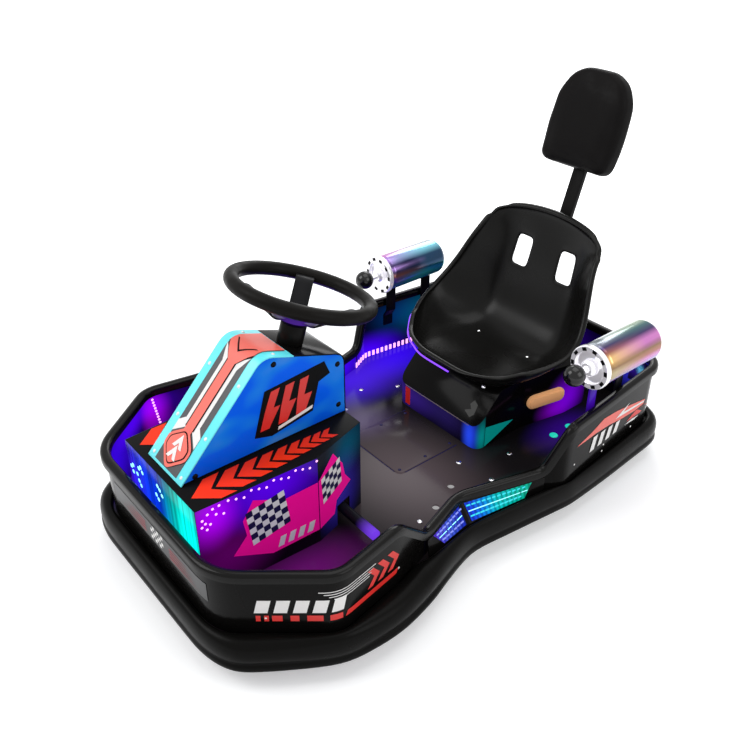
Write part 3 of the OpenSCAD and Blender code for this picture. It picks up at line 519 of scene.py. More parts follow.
def repeat(name, kind, places, mat, body="chassis", **values):
    """One object of studs or dashes at (place, facing, along), made by its node tree"""
    mesh = bpy.data.meshes.new(name)
    mesh.from_pydata([place[0] for place in places], [], [])
    for key, column in (("facing", 1), ("along", 2)):
        layer = mesh.attributes.new(key, "FLOAT_VECTOR", "POINT")
        for item, place in zip(layer.data, places):
            item.vector = place[column]
    obj = bpy.data.objects.new(name, mesh)
    bpy.context.scene.collection.objects.link(obj)
    mod = obj.modifiers.new(kind, "NODES")
    mod.node_group = GROUPS[kind]
    idents = {s.name: s.identifier for s in GROUPS[kind].interface.items_tree if s.in_out == "INPUT"}
    mod[idents["Material"]] = mat
    for key, value in values.items():
        mod[idents[key.capitalize()]] = value
    settle(obj)
    for face in obj.data.polygons:
        face.use_smooth = kind == "Studs"
    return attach(obj, body)


def studs_on(surface, points, lift=0.0):
    """Places and directions for studs at points of a surface"""
    made = []
    for s, t in points:
        p = surface(s, t, lift)
        out = (surface(s, t, 5 + lift) - p).normalized()
        made.append((p, out, (surface(s + 1, t, lift) - p).normalized()))
    return made


def studs(name, surface, points, mat, radius, height):
    return repeat(name, "Studs", studs_on(surface, points), mat, radius=radius, height=height)


def dashes(name, surface, points, mat, size, lift=0.0):
    """Small bars on a surface: size is their length, width and height"""
    values = dict(zip(("length", "width", "height"), size))
    return repeat(name, "Dashes", studs_on(surface, points, lift), mat, **values)


class CarPiece:
    """What the operators share"""

    bl_options = {"REGISTER", "UNDO"}

    def execute(self, context):
        self.build()
        return {"FINISHED"}


class CAR_OT_paints(CarPiece, bpy.types.Operator):
    """Shader groups, repeat trees and the paints that several pieces share"""

    bl_idname = "car.paints"
    bl_label = "Paints"

    def build(self):
        make_groups()
        make_repeats()
        paint("rubber", tint("rubber"), 0.3, wear=(9, 9, 9), specular=0.055)
        paint("gloss black", tint("black"), 0.14, specular=0.06)
        paint("satin black", tint("satin"), 0.36, wear=(14, 14, 14), specular=0.06)
        paint("trim", tint("rubber"), 0.2, specular=0.14)
        paint("graphic white", tint("white"), 0.35)
        paint("graphic red", tint("red"), 0.35)
        paint("graphic black", (0.004, 0.004, 0.0045), 0.4, specular=0.04)
        paint("chevron", tint("orange"), 0.4, specular=0.15)
        paint("coral", tint("coral"), 0.35)
        paint("cyan", tint("cyan"), 0.3)
        # The sticker's magenta glows a little: painted light that brightens it
        paint("magenta", tint("magenta"), 0.3, emit=tint("magenta"), power=0.22, specular=0.15)
        paint("navy", tint("navy"), 0.35, specular=0.15)
        paint("steel", (0.62, 0.62, 0.64), 0.22, metal=1)
        paint("chrome", (0.86, 0.86, 0.88), 0.08, metal=1)
        # Glowing white for the painted glints under the front rail
        paint("white light", (0.9, 0.9, 1.0), 0.4, emit=(0.92, 0.86, 1.0), power=5)
        paint("violet light", (0.1, 0.02, 0.3), 0.4, emit=(0.22, 0.05, 1.0), power=1.4)
        paint("rose light", (0.6, 0.2, 0.5), 0.4, emit=(1.0, 0.42, 0.95), power=1.6)
        paint("cyan light", (0.2, 0.6, 0.7), 0.4, emit=(0.3, 0.85, 1.0), power=1.3)


class CAR_OT_bumper(CarPiece, bpy.types.Operator):
    """Rubber bumper ring, its steel band, the floor plate and the frame rails"""

    bl_idname = "car.bumper"
    bl_label = "Bumper"

    def build(self):
        dress("bumper", [PAINTS["rubber"]], rounds=1, smooth=60)
        dress("bumper_band", [PAINTS["satin black"]])
        dress("floor_pan", [self.floor_paint()])
        dress("chassis_frame", [PAINTS["satin black"]], bevel=0.002)

    def floor_paint(self):
        # Painted light on the floor: a grey pool of painted reflection round the hatch, and pools of violet,
        # magenta and teal glow
        v = tint("violet")
        pools = [
            ((112, -36, 100), (350, 240, 80), (0.080, 0.060, 0.067), 1.0),
            ((-140, 20, 100), (120, 120, 80), (0.06, 0.04, 0.12), 0.9),
            ((-300, 130, 100), (150, 230, 80), (0.06, 0.01, 0.75), 1.0),
            ((-330, 330, 100), (160, 190, 80), (0.03, 0.0, 0.8), 1.0),
            ((-300, -420, 100), (190, 260, 80), v, 0.5),
            ((230, -420, 100), (130, 230, 80), (0.30, 0.0, 0.35), 0.35),
            ((230, 400, 100), (90, 160, 80), (0.03, 0.0, 0.25), 0.6),
            ((300, 60, 100), (60, 170, 80), (0.0, 0.05, 0.045), 1.0),
        ]
        return glow_paint("floor", tint("grey"), 0.16, pools, specular=0.08)


class CAR_OT_tub(CarPiece, bpy.types.Operator):
    """Sheet walls of the tub, black outside and lit inside, with one edge trim all round"""

    bl_idname = "car.tub"
    bl_label = "Tub"

    def build(self):
        # Pools of painted light on the insides of the front and rear walls
        front = [
            ((-260, -600, 190), (170, 170, 150), (0.035, 0.0, 0.75), 0.9),
            ((-350, -500, 225), (130, 150, 60), (0.08, 0.0, 0.8), 0.9),
            ((-385, -440, 200), (50, 60, 90), (0.45, 0.0, 0.9), 0.7),
            ((-375, -360, 180), (70, 120, 130), (0.02, 0.0, 0.16), 0.9),
            ((0, -634, 190), (300, 60, 140), (0.03, 0.0, 0.6), 0.8),
            ((300, -560, 190), (200, 200, 150), (0.1, 0.0, 0.6), 0.7),
        ]
        rear = [
            ((-372, 230, 115), (60, 170, 80), (0.06, 0.0, 0.95), 1.0),
            ((-360, 330, 215), (80, 130, 90), (0.0, 0.02, 0.10), 1.0),
            ((-345, 430, 200), (60, 140, 110), (0.0, 0.06, 0.11), 1.0),
            ((250, 637, 210), (150, 60, 90), (0.03, 0.03, 0.6), 0.9),
            ((-100, 637, 200), (300, 60, 130), (0.03, 0.0, 0.3), 0.8),
            ((360, 400, 200), (60, 170, 110), (0.05, 0.0, 0.45), 0.8),
        ]
        for node, middle, pools in (("front_wall", -350, front), ("rear_wall", 400, rear)):
            inside = glow_paint(node + " inside", (0.004, 0.003, 0.012), 0.22, pools)
            centre = tub((0, middle, 0))

            def outward(normal, place, centre=centre):
                return 0 if normal.dot(place - centre) > 0 else 1

            dress(node, [PAINTS["gloss black"], inside], pick=outward)
        # Painted violet glow on the inside of the sills
        glow = [((-330, 110, 130), (120, 170, 80), (0.05, 0.0, 0.9), 0.9)]
        lit = glow_paint("sill inside", (0.004, 0.003, 0.012), 0.22, glow)
        dress("sill_inner", [lit])
        dress("sill_panels", [PAINTS["gloss black"]])
        self.trim()

    def trim(self):
        """One swept channel over the nose, sills and tail, in place of the three trims"""
        half = sizes().trim_half / MM
        ring = [(-half, -10), (-half, 1), (-half * 0.9, 5), (-half * 0.6, 8.5), (0, 10)]
        ring += [(-s, t) for s, t in reversed(ring[:-1])]
        tops = [(256, 256, 256, 256, 158), (270, 270, 270, 270, 158)]
        nose = [(x, y, z) for (x, y), z in zip(NOSE_LINE, tops[0])][1:]
        tail = [(x, y, z) for (x, y), z in zip(TAIL_LINE, tops[1])][1:]
        left = nose + [(288, -45, 158)] + tail[::-1]
        path = left + [(-x, y, z) for x, y, z in reversed(left)]
        ease = [60, 30, 22, 26, 30, 22, 18, 35, 35]
        line = self.rounded(path, ease + ease[::-1], 7)
        bm = bmesh.new()
        loops = []
        count = len(line)
        for i, p in enumerate(line):
            t0 = (p - line[i - 1]).normalized()
            t1 = (line[(i + 1) % count] - p).normalized()
            h0, h1 = t0.xy.normalized(), t1.xy.normalized()
            along = (t0 + t1).normalized()
            level = along.xy.normalized()
            side = (Vector((h0.y, -h0.x)) + Vector((h1.y, -h1.x))) / (1 + h0.dot(h1))
            up = Vector((-along.z * level.x, -along.z * level.y, along.xy.length))
            loops.append([bm.verts.new(tub(p + Vector((side.x, side.y, 0)) * s + up * t)) for s, t in ring])
        for a, b in zip(loops, loops[1:] + loops[:1]):
            for k in range(len(ring)):
                m = (k + 1) % len(ring)
                bm.faces.new((a[k], b[k], b[m], a[m]))
        bmesh.ops.recalc_face_normals(bm, faces=bm.faces)
        mesh = finish_mesh(bm, "edge_trim", 50)
        nodes = ["front_trim", "sill_trim", "rear_trim"]
        add("edge_trim", mesh, [PAINTS["trim"]], nodes=nodes)

    def rounded(self, path, ease, steps):
        made = []
        count = len(path)
        for i, point in enumerate(path):
            b, a, c = Vector(point), Vector(path[i - 1]), Vector(path[(i + 1) % count])
            d = min(ease[i], 0.45 * (a - b).length, 0.45 * (c - b).length)
            p, q = b + (a - b).normalized() * d, b + (c - b).normalized() * d
            made += [bend(p, b, q, n / steps) for n in range(steps + 1)]
        return made


class CAR_OT_tub_graphics(CarPiece, bpy.types.Operator):
    """Stripes, bars, chevrons and rivets on the outside of the tub"""

    bl_idname = "car.tub_graphics"
    bl_label = "Tub graphics"

    def build(self):
        stand = sizes().sheet / MM / 2
        nose = wall(NOSE_LINE, NOSE_EASE, -1, stand)
        tail = wall(TAIL_LINE, TAIL_EASE, 1, stand)
        cuts = line_cuts(NOSE_LINE, NOSE_EASE)
        cuts += [-c for c in cuts]
        white, red = PAINTS["graphic white"], PAINTS["graphic red"]
        grey = paint("nose plate", (0.03, 0.03, 0.032), 0.35)
        rose = paint("stripe rose", (0.36, 0.03, 0.045), 0.4)
        decal("nose_plate", [box_shape(-178, 166, 214, 212)], nose, grey, 1, cuts)
        stripes = [[(-150 + 12 * k, 176 + 8 * k), (-32, 173 + 8 * k), (-32, 177 + 8 * k)] for k in range(4)]
        stripes += [[(190 - 12 * k, 176 + 8 * k), (72, 177 + 8 * k), (72, 173 + 8 * k)] for k in range(4)]
        decal("nose_stripes", stripes, nose, rose, 2, cuts)
        decal("nose_chequer", chequer((-8, 174), (9, 0), (0, 9), 6, 4), nose, white, 2)
        corner, flank = 240, 478
        bars = [box_shape(corner + 74 + 37 * k, 160, corner + 100 + 37 * k, 193, 8) for k in range(5)]
        spans = [(77, 86), (93, 102), (108, 128), (143, 160), (175, 206), (219, 246)]
        marks = [box_shape(corner + a, 138, corner + b, 153) for a, b in spans]
        lines = []
        for k in range(4):
            height = 212 - 6.5 * k
            lines.append(box_shape(flank - 40 + 10 * k, height, flank + 100 - 6 * k, height + 2))
        outline = [(76, 160), (92, 160), (112, 184), (92, 208), (76, 208), (96, 184)]
        chevs = [[(flank + 30 * k + s, t) for s, t in outline] for k in range(3)]
        band = [box_shape(flank + 14, 138, flank + 164, 151, 6)]
        rows = [("bars", bars, white), ("dashes", marks, red), ("lines", lines, white)]
        rows += [("chevrons", chevs, red), ("band", band, red)]
        for side, sign in SIDES:
            for name, shapes, mat in rows:
                decal(f"front_{name}_{side}", mirror(shapes) if sign < 0 else shapes, nose, mat, 1, cuts)
            self.rear(tail, side, sign, white, red)
        hip = hip_length()
        spots = ((32, 150), (157, 122), (160, 140), (290, 127))
        heads = studs_on(tail, [(sign * (hip - s), t) for sign in (1, -1) for s, t in spots])
        heads += studs_on(nose, [(sign * (corner + s), 146) for sign in (1, -1) for s in (96, 410)])
        repeat("tub_rivets", "Studs", heads, white, radius=sizes().rivet_r, height=0.0014)

    def rear(self, tail, side, sign, white, red):
        """Swoosh with slanted bars: lengths are measured from the hip towards the tail"""
        hip = hip_length()

        def back(shapes):
            made = [[(hip - s, t + 100) for s, t in shape] for shape in shapes]
            return mirror(made) if sign < 0 else made

        rose = PAINTS.get("swoosh rose") or paint("swoosh rose", (0.86, 0.12, 0.09), 0.35)
        top = [(31, 101), (66, 107), (98, 113), (143, 126), (200, 119), (270, 104), (344, 86)]
        low = [(338, 74), (300, 72), (235, 80), (175, 92), (118, 98), (70, 99)]
        decal(f"swoosh_{side}", back([top + low]), tail, rose, 1)
        tongue = [(262, 56), (300, 70), (350, 68), (366, 60), (330, 52)]
        decal(f"swoosh_low_{side}", back([tongue]), tail, red, 1)
        fin = [(200, 96), (262, 116), (236, 99), (342, 84), (336, 80)]
        blade = [(252, 50), (366, 52), (366, 49), (300, 44)]
        decal(f"swoosh_lines_{side}", back([fin, blade]), tail, white, 2)
        bars = [box_shape(94 + 34 * k, 52, 112 + 34 * k, 92 - 3 * k, 10) for k in range(4)]
        decal(f"rear_bars_{side}", back(bars), tail, white, 3)


class CAR_OT_sill_lights(CarPiece, bpy.types.Operator):
    """Lens plates and light rows in the sill windows, and the rows inside the tub"""

    bl_idname = "car.sill_lights"
    bl_label = "Lights"

    def build(self):
        lens = self.lens_paint()
        dress("sill_lenses", [lens])
        self.windows(lens)
        self.rail_rows()
        self.foot_rows()
        self.tail_mesh()

    def lens_paint(self):
        """Two rows of light bands, blue ahead of the waist and blue to green behind it"""
        mat = paint("lens", (0.0, 0.0, 0.01), 0.25, specular=0.05)
        tree = mat.node_tree
        coord = tree.nodes.new("ShaderNodeTexCoord")
        parts = tree.nodes.new("ShaderNodeSeparateXYZ")
        tree.links.new(coord.outputs["Object"], parts.inputs["Vector"])
        along = map_range(tree, parts.outputs["Y"], -0.160 + MIDDLE_Y * MM, 0.110 + MIDDLE_Y * MM)
        stops = [
            (0.0, (0.10, 0.02, 0.75)), (0.2, (0.06, 0.12, 0.80)), (0.36, (0.01, 0.03, 0.55)),
            (0.5, (0.0, 0.06, 0.9)), (0.62, (0.0, 0.30, 0.95)), (0.74, (0.0, 0.62, 0.62)),
            (1.0, (0.0, 0.50, 0.33)),
        ]
        shade = ramp_node(tree, stops, along.outputs["Result"])
        wave = tree.nodes.new("ShaderNodeTexWave")
        wave.wave_type = "BANDS"
        wave.bands_direction = "Y"
        wave.inputs["Scale"].default_value = 26
        wave.inputs["Distortion"].default_value = 1.2
        tree.links.new(coord.outputs["Object"], wave.inputs["Vector"])
        level = map_range(tree, wave.outputs["Fac"], 0, 1, 0.45, 0.95)
        bsdf = tree.nodes["Principled BSDF"]
        tree.links.new(scaled(tree, shade, level.outputs["Result"]), bsdf.inputs["Emission Color"])
        bsdf.inputs["Emission Strength"].default_value = 1
        return mat

    def windows(self, lens):
        """Lens plates over the slanting sill panels, with two rows of lights and a bright line between"""
        waist = -45

        def panel(y, v, lift):
            share = (waist - y) / 140 if y < waist else (y - waist) / 217
            edge = 288 + (46 if y < waist else 62) * share
            foot = 334.1 + (16.6 if y < waist else 25) * share
            top, low = Vector((edge + 9.5, y, 146)), Vector((foot, y, 104))
            out = Vector((top.z - low.z, 0, low.x - top.x)).normalized()
            return tub(top.lerp(low, v) + out * lift)

        def far(y, v, lift):
            p = panel(y, v, lift)
            return Vector((-p.x, p.y, p.z))

        shapes = [
            [(-160, 0.06), (-54, 0.06), (-54, 0.86), (-132, 0.86)],
            [(-37, 0.06), (134, 0.06), (112, 0.86), (-37, 0.86)],
        ]
        lines = [
            [(-144, 0.42), (-56, 0.42), (-56, 0.46), (-142, 0.46)],
            [(-35, 0.42), (122, 0.42), (121, 0.46), (-35, 0.46)],
        ]
        cuts = [-140 + 18 * k for k in range(16)]
        ahead = [(-148 + 13 * k, 0.2) for k in range(8)] + [(-130 + 13 * k, 0.66) for k in range(6)]
        behind = [(-29 + 13 * k, 0.2) for k in range(12)] + [(-29 + 13 * k, 0.66) for k in range(11)]
        blue = paint("led blue", (0, 0, 0.02), 0.4, emit=(0.30, 0.36, 1.0), power=1.0, specular=0)
        aqua = paint("led aqua", (0, 0.01, 0.01), 0.4, emit=(0.06, 0.80, 0.95), power=1.0, specular=0)
        size = (0.0125, 0.0034, 0.001)
        for side, surface in (("left", panel), ("right", far)):
            decal(f"sill_window_{side}", shapes, surface, lens, 2, cuts)
            decal(f"sill_line_{side}", lines, surface, PAINTS["cyan light"], 3, cuts)
            dashes(f"sill_leds_ahead_{side}", surface, ahead, blue, size, 1.2)
            dashes(f"sill_leds_behind_{side}", surface, behind, aqua, size, 1.2)

    def rail_rows(self):
        """Painted highlights: thin white glowing dashes close under the rail of the front wall, on its
        inside, standing in for glints along the rail's inside edge
        """
        pitch = sizes().dash_pitch / MM
        nose = wall(NOSE_LINE, NOSE_EASE, 1, sizes().sheet / MM / 2 + 1)
        points = [(sign * (268 + pitch * k), 243.5) for sign in (1, -1) for k in range(4)]
        dashes("rail_lights", nose, points, PAINTS["white light"], (sizes().dash, 0.0045, 0.002))

    def foot_rows(self):
        """Rows of small rose lights along the feet of the rear walls and down the flares"""
        inside = sizes().sheet / MM / 2 + 1
        tail = wall(TAIL_LINE, TAIL_EASE, -1, inside)
        hip = hip_length()
        points = [(sign * (hip - 15 * k), 110) for sign in (1, -1) for k in range(-4, 15)]
        dashes("foot_lights", tail, points, PAINTS["rose light"], (0.007, 0.015, 0.002))
        nose = wall(NOSE_LINE, NOSE_EASE, 1, inside)
        flare = corner_lengths(NOSE_LINE, NOSE_EASE)[0][2]
        points = [(sign * (flare + 12 + 1.5 * k), 232 - 9 * k) for sign in (1, -1) for k in range(9)]
        studs("flare_lights", nose, points, PAINTS["rose light"], 0.0032, 0.001)

    def tail_mesh(self):
        """Bright perforated light plates in the tail corners"""
        pools = both_sides([((285, 635, 215), (34, 20, 26), (0.15, 0.75, 0.9), 1.0)])
        pools.append(((0, 635, 215), (400, 40, 60), (0.09, 0.02, 0.8), 1.0))
        glow = glow_paint("mesh light", (0.02, 0.02, 0.08), 0.3, pools, streak=(160, 160, 160))
        tail = wall(TAIL_LINE, TAIL_EASE, -1, sizes().sheet / MM / 2)
        cuts = line_cuts(TAIL_LINE, TAIL_EASE)
        plate = [[(238, 168), (316, 176), (322, 246), (238, 246)]]
        decal("tail_light_left", plate, tail, glow, 1, cuts)
        decal("tail_light_right", mirror(plate), tail, glow, 1, [-c for c in cuts])


class CAR_OT_floor(CarPiece, bpy.types.Operator):
    """Hatch in the floor and the bolts round it"""

    bl_idname = "car.floor"
    bl_label = "Floor"

    def build(self):
        dress("floor_hatch", [bpy.data.materials["floor"]], bevel=0.0008)
        ground = flat((0, 0, HATCH_TOP), ACROSS, BACK, UP)
        points = [(x, y) for x in (-85, 85) for y in (-38, 45, 128)]
        studs("hatch_screws", ground, points, PAINTS["navy"], 0.0042, 0.0016)
        low = flat((0, 0, FLOOR_TOP), ACROSS, BACK, UP)
        edge = [
            [(-79, -52), (79, -52), (79, -49), (-79, -49)],
            [(97, -31), (100, -31), (100, 140), (97, 140)],
            [(-100, -31), (-97, -31), (-97, 140), (-100, 140)],
            [(79, -52), (100, -31), (97, -30), (78, -49)],
            [(-79, -52), (-78, -49), (-97, -30), (-100, -31)],
        ]
        decal("hatch_line", edge, low, PAINTS["navy"], 1)
        points = [(x, y) for x in (-250, 250) for y in (-120, 110)] + [(-200, 200), (207, 217), (153, 95)]
        studs("floor_bolts", low, points, PAINTS["steel"], 0.007, 0.0025)
        teal = paint("teal light", (0.02, 0.3, 0.25), 0.3, emit=(0.0, 0.6, 0.42), power=0.9)
        points = [(x, y) for x in (-226, 226) for y in (361, 422)]
        studs("lit_bolts", low, points, teal, 0.011, 0.003)


class CAR_OT_console(CarPiece, bpy.types.Operator):
    """Console base with lit faces, blue side panels, red cover, dash and column boss"""

    bl_idname = "car.console"
    bl_label = "Console"

    def build(self):
        # Pools of painted light on the base's faces, violet, blue and cyan, streaked on the front
        front = glow_paint("base front", (0.003, 0.003, 0.01), 0.2, [
            ((-150, BASE_FRONT, 230), (110, 60, 260), (0.035, 0.0, 0.55), 0.9),
            ((-50, BASE_FRONT, 240), (120, 60, 300), (0.0, 0.045, 0.9), 1.0),
            ((110, BASE_FRONT, 235), (130, 60, 300), (0.0, 1.15, 1.0), 1.05),
        ], streak=(90, 1, 4))
        side = glow_paint("base side", (0.003, 0.001, 0.006), 0.2, both_sides([
            ((148, -575, 300), (60, 80, 100), (0.42, 0.0, 0.85), 0.9),
            ((154, -440, 310), (60, 190, 110), (0.10, 0.0, 0.85), 0.85),
            ((150, -540, 190), (60, 160, 130), (0.09, 0.0, 0.10), 0.8),
        ]))
        rear = glow_paint("base rear", (0.003, 0.004, 0.012), 0.22, both_sides([
            ((130, -230, 300), (60, 90, 90), (0.0, 0.05, 0.09), 1.0),
            ((140, -260, 190), (60, 110, 130), (0.02, 0.01, 0.22), 0.9),
        ]))
        top = PAINTS["graphic black"]

        def facing(normal, place):
            if abs(normal.z) > 0.5:
                return 3
            if normal.y < -0.7:
                return 0
            return 1 if abs(normal.x) > 0.97 else 2

        dress("console_base", [front, side, rear, top], pick=facing, bevel=0.0025)
        dress("fork_bearing", [PAINTS["steel"]], bevel=0.001)
        blue = paint("panel blue", tint("blue"), 0.25, specular=0.04)
        tree = blue.node_tree
        patch = use_group(tree, "Patches", stretch=(9, 7, 12), low=0.0, high=1.0, detail=1.0)
        stops = [(0.0, tint("blue")), (0.5, (0.002, 0.13, 0.95)), (0.75, (0.01, 0.22, 0.9))]
        stops.append((1.0, (0.06, 0.28, 0.85)))
        shade = ramp_node(tree, stops, patch.outputs["Fac"])
        tree.links.new(shade, tree.nodes["Principled BSDF"].inputs["Base Color"])
        dress("console_panels", [blue], bevel=0.0008)
        dress("console_cover", [PAINTS["cyan"]], bevel=0.0008)
        dress("console_back", [PAINTS["gloss black"]], bevel=0.001)
        dress("column_boss", [PAINTS["satin black"]], bevel=0.002)


class CAR_OT_console_graphics(CarPiece, bpy.types.Operator):
    """Chevrons, cover bands, side motif, sticker and screws on the console"""

    bl_idname = "car.console_graphics"
    bl_label = "Console graphics"

    def build(self):
        self.cover()
        self.sides()
        self.sparks()
        self.chevrons()
        self.sticker()

    def cover(self):
        line = [(COVER_FRONT, BASE_TOP), (-384, 546), (-312.7, 521.4)]
        ease = [0, 26, 0]

        def place(x, t, lift):
            p, way = line_point(line, ease, t)
            p = p + Vector((-way.y, way.x)) * (3 + lift)
            return tub((x, p.x, p.y))

        def shapes(name, parts, mat, layer):
            turned = [[(t, x) for x, t in part] for part in parts]
            decal(name, turned, lambda t, x, lift: place(x, t, lift), mat, layer, line_cuts(line, ease))

        def both(parts):
            return parts + mirror(parts)

        black, white, coral = PAINTS["graphic black"], PAINTS["graphic white"], PAINTS["coral"]
        dark = paint("cover grey", (0.055, 0.055, 0.06), 0.4)
        end = math.dist(line[0], line[1]) + 70
        shapes("cover_ground", [[(-44, 6), (44, 6), (44, end), (-44, end)]], dark, 1)
        stripe = [(13, 96), (44, 72), (44, 98), (27, 112), (27, 248), (44, 284), (13, 262)]
        shapes("cover_white", both([stripe]), white, 2)
        lining = [(13, 96), (16.5, 98), (16.5, 258), (44, 289), (44, 296), (13, 262)]
        shapes("cover_rims", both([lining]), black, 3)
        band = [(-13, 90), (13, 90), (13, 256), (44, 293), (44, end), (-44, end), (-44, 293), (-13, 256)]
        shapes("cover_band", [band], coral, 4)
        hexes = []
        for grow in (1.0, 0.83, 0.76):
            corners = [(0, 4), (44, 42), (44, 66), (0, 101), (-44, 66), (-44, 42)]
            hexes.append([(x * grow, 53 + (t - 53) * grow) for x, t in self.soften(corners)])
        shapes("cover_shield", hexes[:1], coral, 5)
        shapes("cover_shield_line", hexes[1:2], black, 6)
        shapes("cover_shield_face", hexes[2:], coral, 7)
        arrow = [(0, 82), (-17, 52), (-7, 52), (0, 63), (7, 52), (17, 52)]
        shapes("cover_arrow", [arrow, [(x, t - 24) for x, t in arrow]], white, 8)
        crease = [(-36, 308), (-31, 308), (0, 284), (31, 308), (36, 308), (0, 279)]
        shapes("cover_crease", [crease], black, 5)
        points = [(x, t) for x in (-56, 56) for t in (14, 104, 226, 330)]
        studs("cover_screws", place, points, white, 0.0042, 0.002)

    def soften(self, corners):
        made = []
        for i, point in enumerate(corners):
            b, a, c = Vector(point), Vector(corners[i - 1]), Vector(corners[(i + 1) % len(corners)])
            p, q = b + (a - b) * 0.25, b + (c - b) * 0.25
            made += [tuple(bend(p, b, q, t)) for t in (0, 0.25, 0.5, 0.75, 1)]
        return made

    def sides(self):
        black, white, red = PAINTS["graphic black"], PAINTS["graphic white"], PAINTS["graphic red"]
        x = sizes().panel_x / MM
        ground = [(172, 36), (203, 138), (352, 152), (366, 118), (336, 108), (318, 42), (214, 24)]
        # Corners of a lightning bar: place of the first, step to the next bar, height
        bolt = [(186, 44, 46), (208, 44, 46), (238, 40, 92), (222, 38, 92)]
        bolt += [(240, 36, 134), (218, 36, 132), (200, 40, 88)]
        bolts = [[(start + step * k, t) for start, step, t in bolt] for k in range(3)]
        for side, sign in SIDES:
            face = flat((sign * x, COVER_FRONT, BASE_TOP), BACK, UP, (sign, 0, 0))
            decal(f"panel_foot_{side}", [[(2, 0), (403, 0), (403, 5), (7, 5)]], face, black, 1)
            decal(f"motif_ground_{side}", [ground], face, black, 1)
            decal(f"motif_bolts_{side}", bolts, face, red, 2)
            decal(f"motif_line_{side}", [[(228, 33), (316, 50), (318, 58), (230, 41)]], face, white, 3)
            points = [(229, 192), (386, 131), (386, 28), (32, 10)]
            studs(f"panel_screws_{side}", face, points, PAINTS["gloss black"], 0.0065, 0.003)

    def sparks(self):
        """Painted glints: small bright points of light at the front corner and along the top of the base,
        standing in for reflections of the lamps
        """
        front = flat((0, BASE_FRONT, 0), ACROSS, UP, (0, -1, 0))
        cyan = [
            (-134, 268), (-124, 276), (-128, 256), (-108, 262), (-96, 284), (-86, 292), (-80, 282),
            (-104, 246), (-98, 236), (-10, 292), (-2, 286), (-22, 262), (-14, 254), (6, 276),
        ]
        studs("base_sparks_front", front, cyan, PAINTS["cyan light"], 0.0052, 0.0008)
        rose = [
            (14, 300), (20, 290), (26, 310), (30, 284), (38, 318),
            (44, 302), (22, 274), (52, 320), (60, 296), (12, 284),
        ]
        rose += [(72 + 17 * k, 322 - 5 * (k % 3)) for k in range(13)]
        for side, sign in SIDES:
            face = flat((147 * sign, BASE_FRONT, 0), (13 * sign, 277, 0), UP, (277 * sign, -13, 0))
            studs(f"base_sparks_{side}", face, rose, PAINTS["rose light"], 0.0028, 0.0008)

    def chevrons(self):
        top = flat((0, 0, BASE_TOP), ACROSS, BACK, UP)
        outline = [(0, 0), (1, 1.25), (1, 2.25), (0, 1.2), (-1, 2.25), (-1, 1.25)]
        middle, tip, size = 109, -590.0, 36.0
        shapes = []
        for k in range(9):
            shapes.append([(middle + size * x, tip + size * y) for x, y in outline])
            tip += size * 1.5
            size *= 0.9
        decal("chevrons_left", shapes, top, PAINTS["chevron"], 1)
        decal("chevrons_right", mirror(shapes), top, PAINTS["chevron"], 1)

    def sticker(self):
        white, navy, pink = PAINTS["graphic white"], PAINTS["navy"], PAINTS["magenta"]
        for side, sign in SIDES:
            a, b, c = Vector((147, BASE_FRONT, 0)), Vector((160, -329, 0)), Vector((118, -183, 0))
            for part, p, q in (("side", a, b), ("rear", b, c)):
                way = (q - p).normalized()
                out = Vector((way.y, -way.x, 0))
                p, way, out = [Vector((v.x * sign, v.y, v.z)) for v in (p, way, out)]
                face = flat(p, way, UP, out)
                if part == "side":
                    shape = [(70, 176), (104, 214), (98, 254), (124, 296), (196, 262), (276, 266)]
                    shape += [(276, 136), (160, 134)]
                    board = ((116, 180), (15, 3), (-2, 15), 6, 6)
                    bars = [box_shape(172 + 24 * k, 144, 186 + 24 * k, 170, 8) for k in range(4)]
                    decal(f"sticker_bars_{side}", bars, face, white, 3)
                else:
                    shape = [(1, 136), (1, 266), (52, 308), (84, 262), (92, 226), (112, 198)]
                    shape += [(60, 174), (52, 142)]
                    board = ((14, 196), (13, 4), (-1, 14), 5, 5)
                decal(f"sticker_{part}_{side}", [shape], face, pink, 1)
                decal(f"chequer_light_{part}_{side}", chequer(*board), face, white, 2)
                decal(f"chequer_dark_{part}_{side}", chequer(*board, odd=1), face, navy, 2)


class CAR_OT_steering(CarPiece, bpy.types.Operator):
    """Steering wheel: its rim and spider"""

    bl_idname = "car.steering"
    bl_label = "Steering"

    def build(self):
        leather = paint("rim leather", (0.0066, 0.0059, 0.0052), 0.42, wear=(30, 30, 30), specular=0.06)
        # Painted violet sheen under the rim
        glow = [((0, -240, 560), (240, 240, 90), (0.03, 0.012, 0.16), 1.0)]
        below = glow_paint("rim below", (0.008, 0.007, 0.008), 0.4, glow)

        def under(normal, place):
            return 1 if normal.z < -0.35 else 0

        dress("steering_rim", [leather, below], pick=under, smooth=60)
        # Painted violet glow round the hub
        glow = [((0, -260, 560), (70, 70, 50), (0.2, 0.03, 0.9), 0.5)]
        lit = glow_paint("spider", (0.006, 0.006, 0.007), 0.35, glow)
        dress("steering_spider", [lit], bevel=0.001)


class CAR_OT_pedals(CarPiece, bpy.types.Operator):
    """Foot pedals out of the console"""

    bl_idname = "car.pedals"
    bl_label = "Pedals"

    def build(self):
        glow = [((250, -248, 140), (60, 60, 60), (0.2, 0.05, 0.9), 0.9)]
        lit = glow_paint("pedal", (0.006, 0.006, 0.01), 0.3, glow)
        dress("pedals", [lit], bevel=0.002)


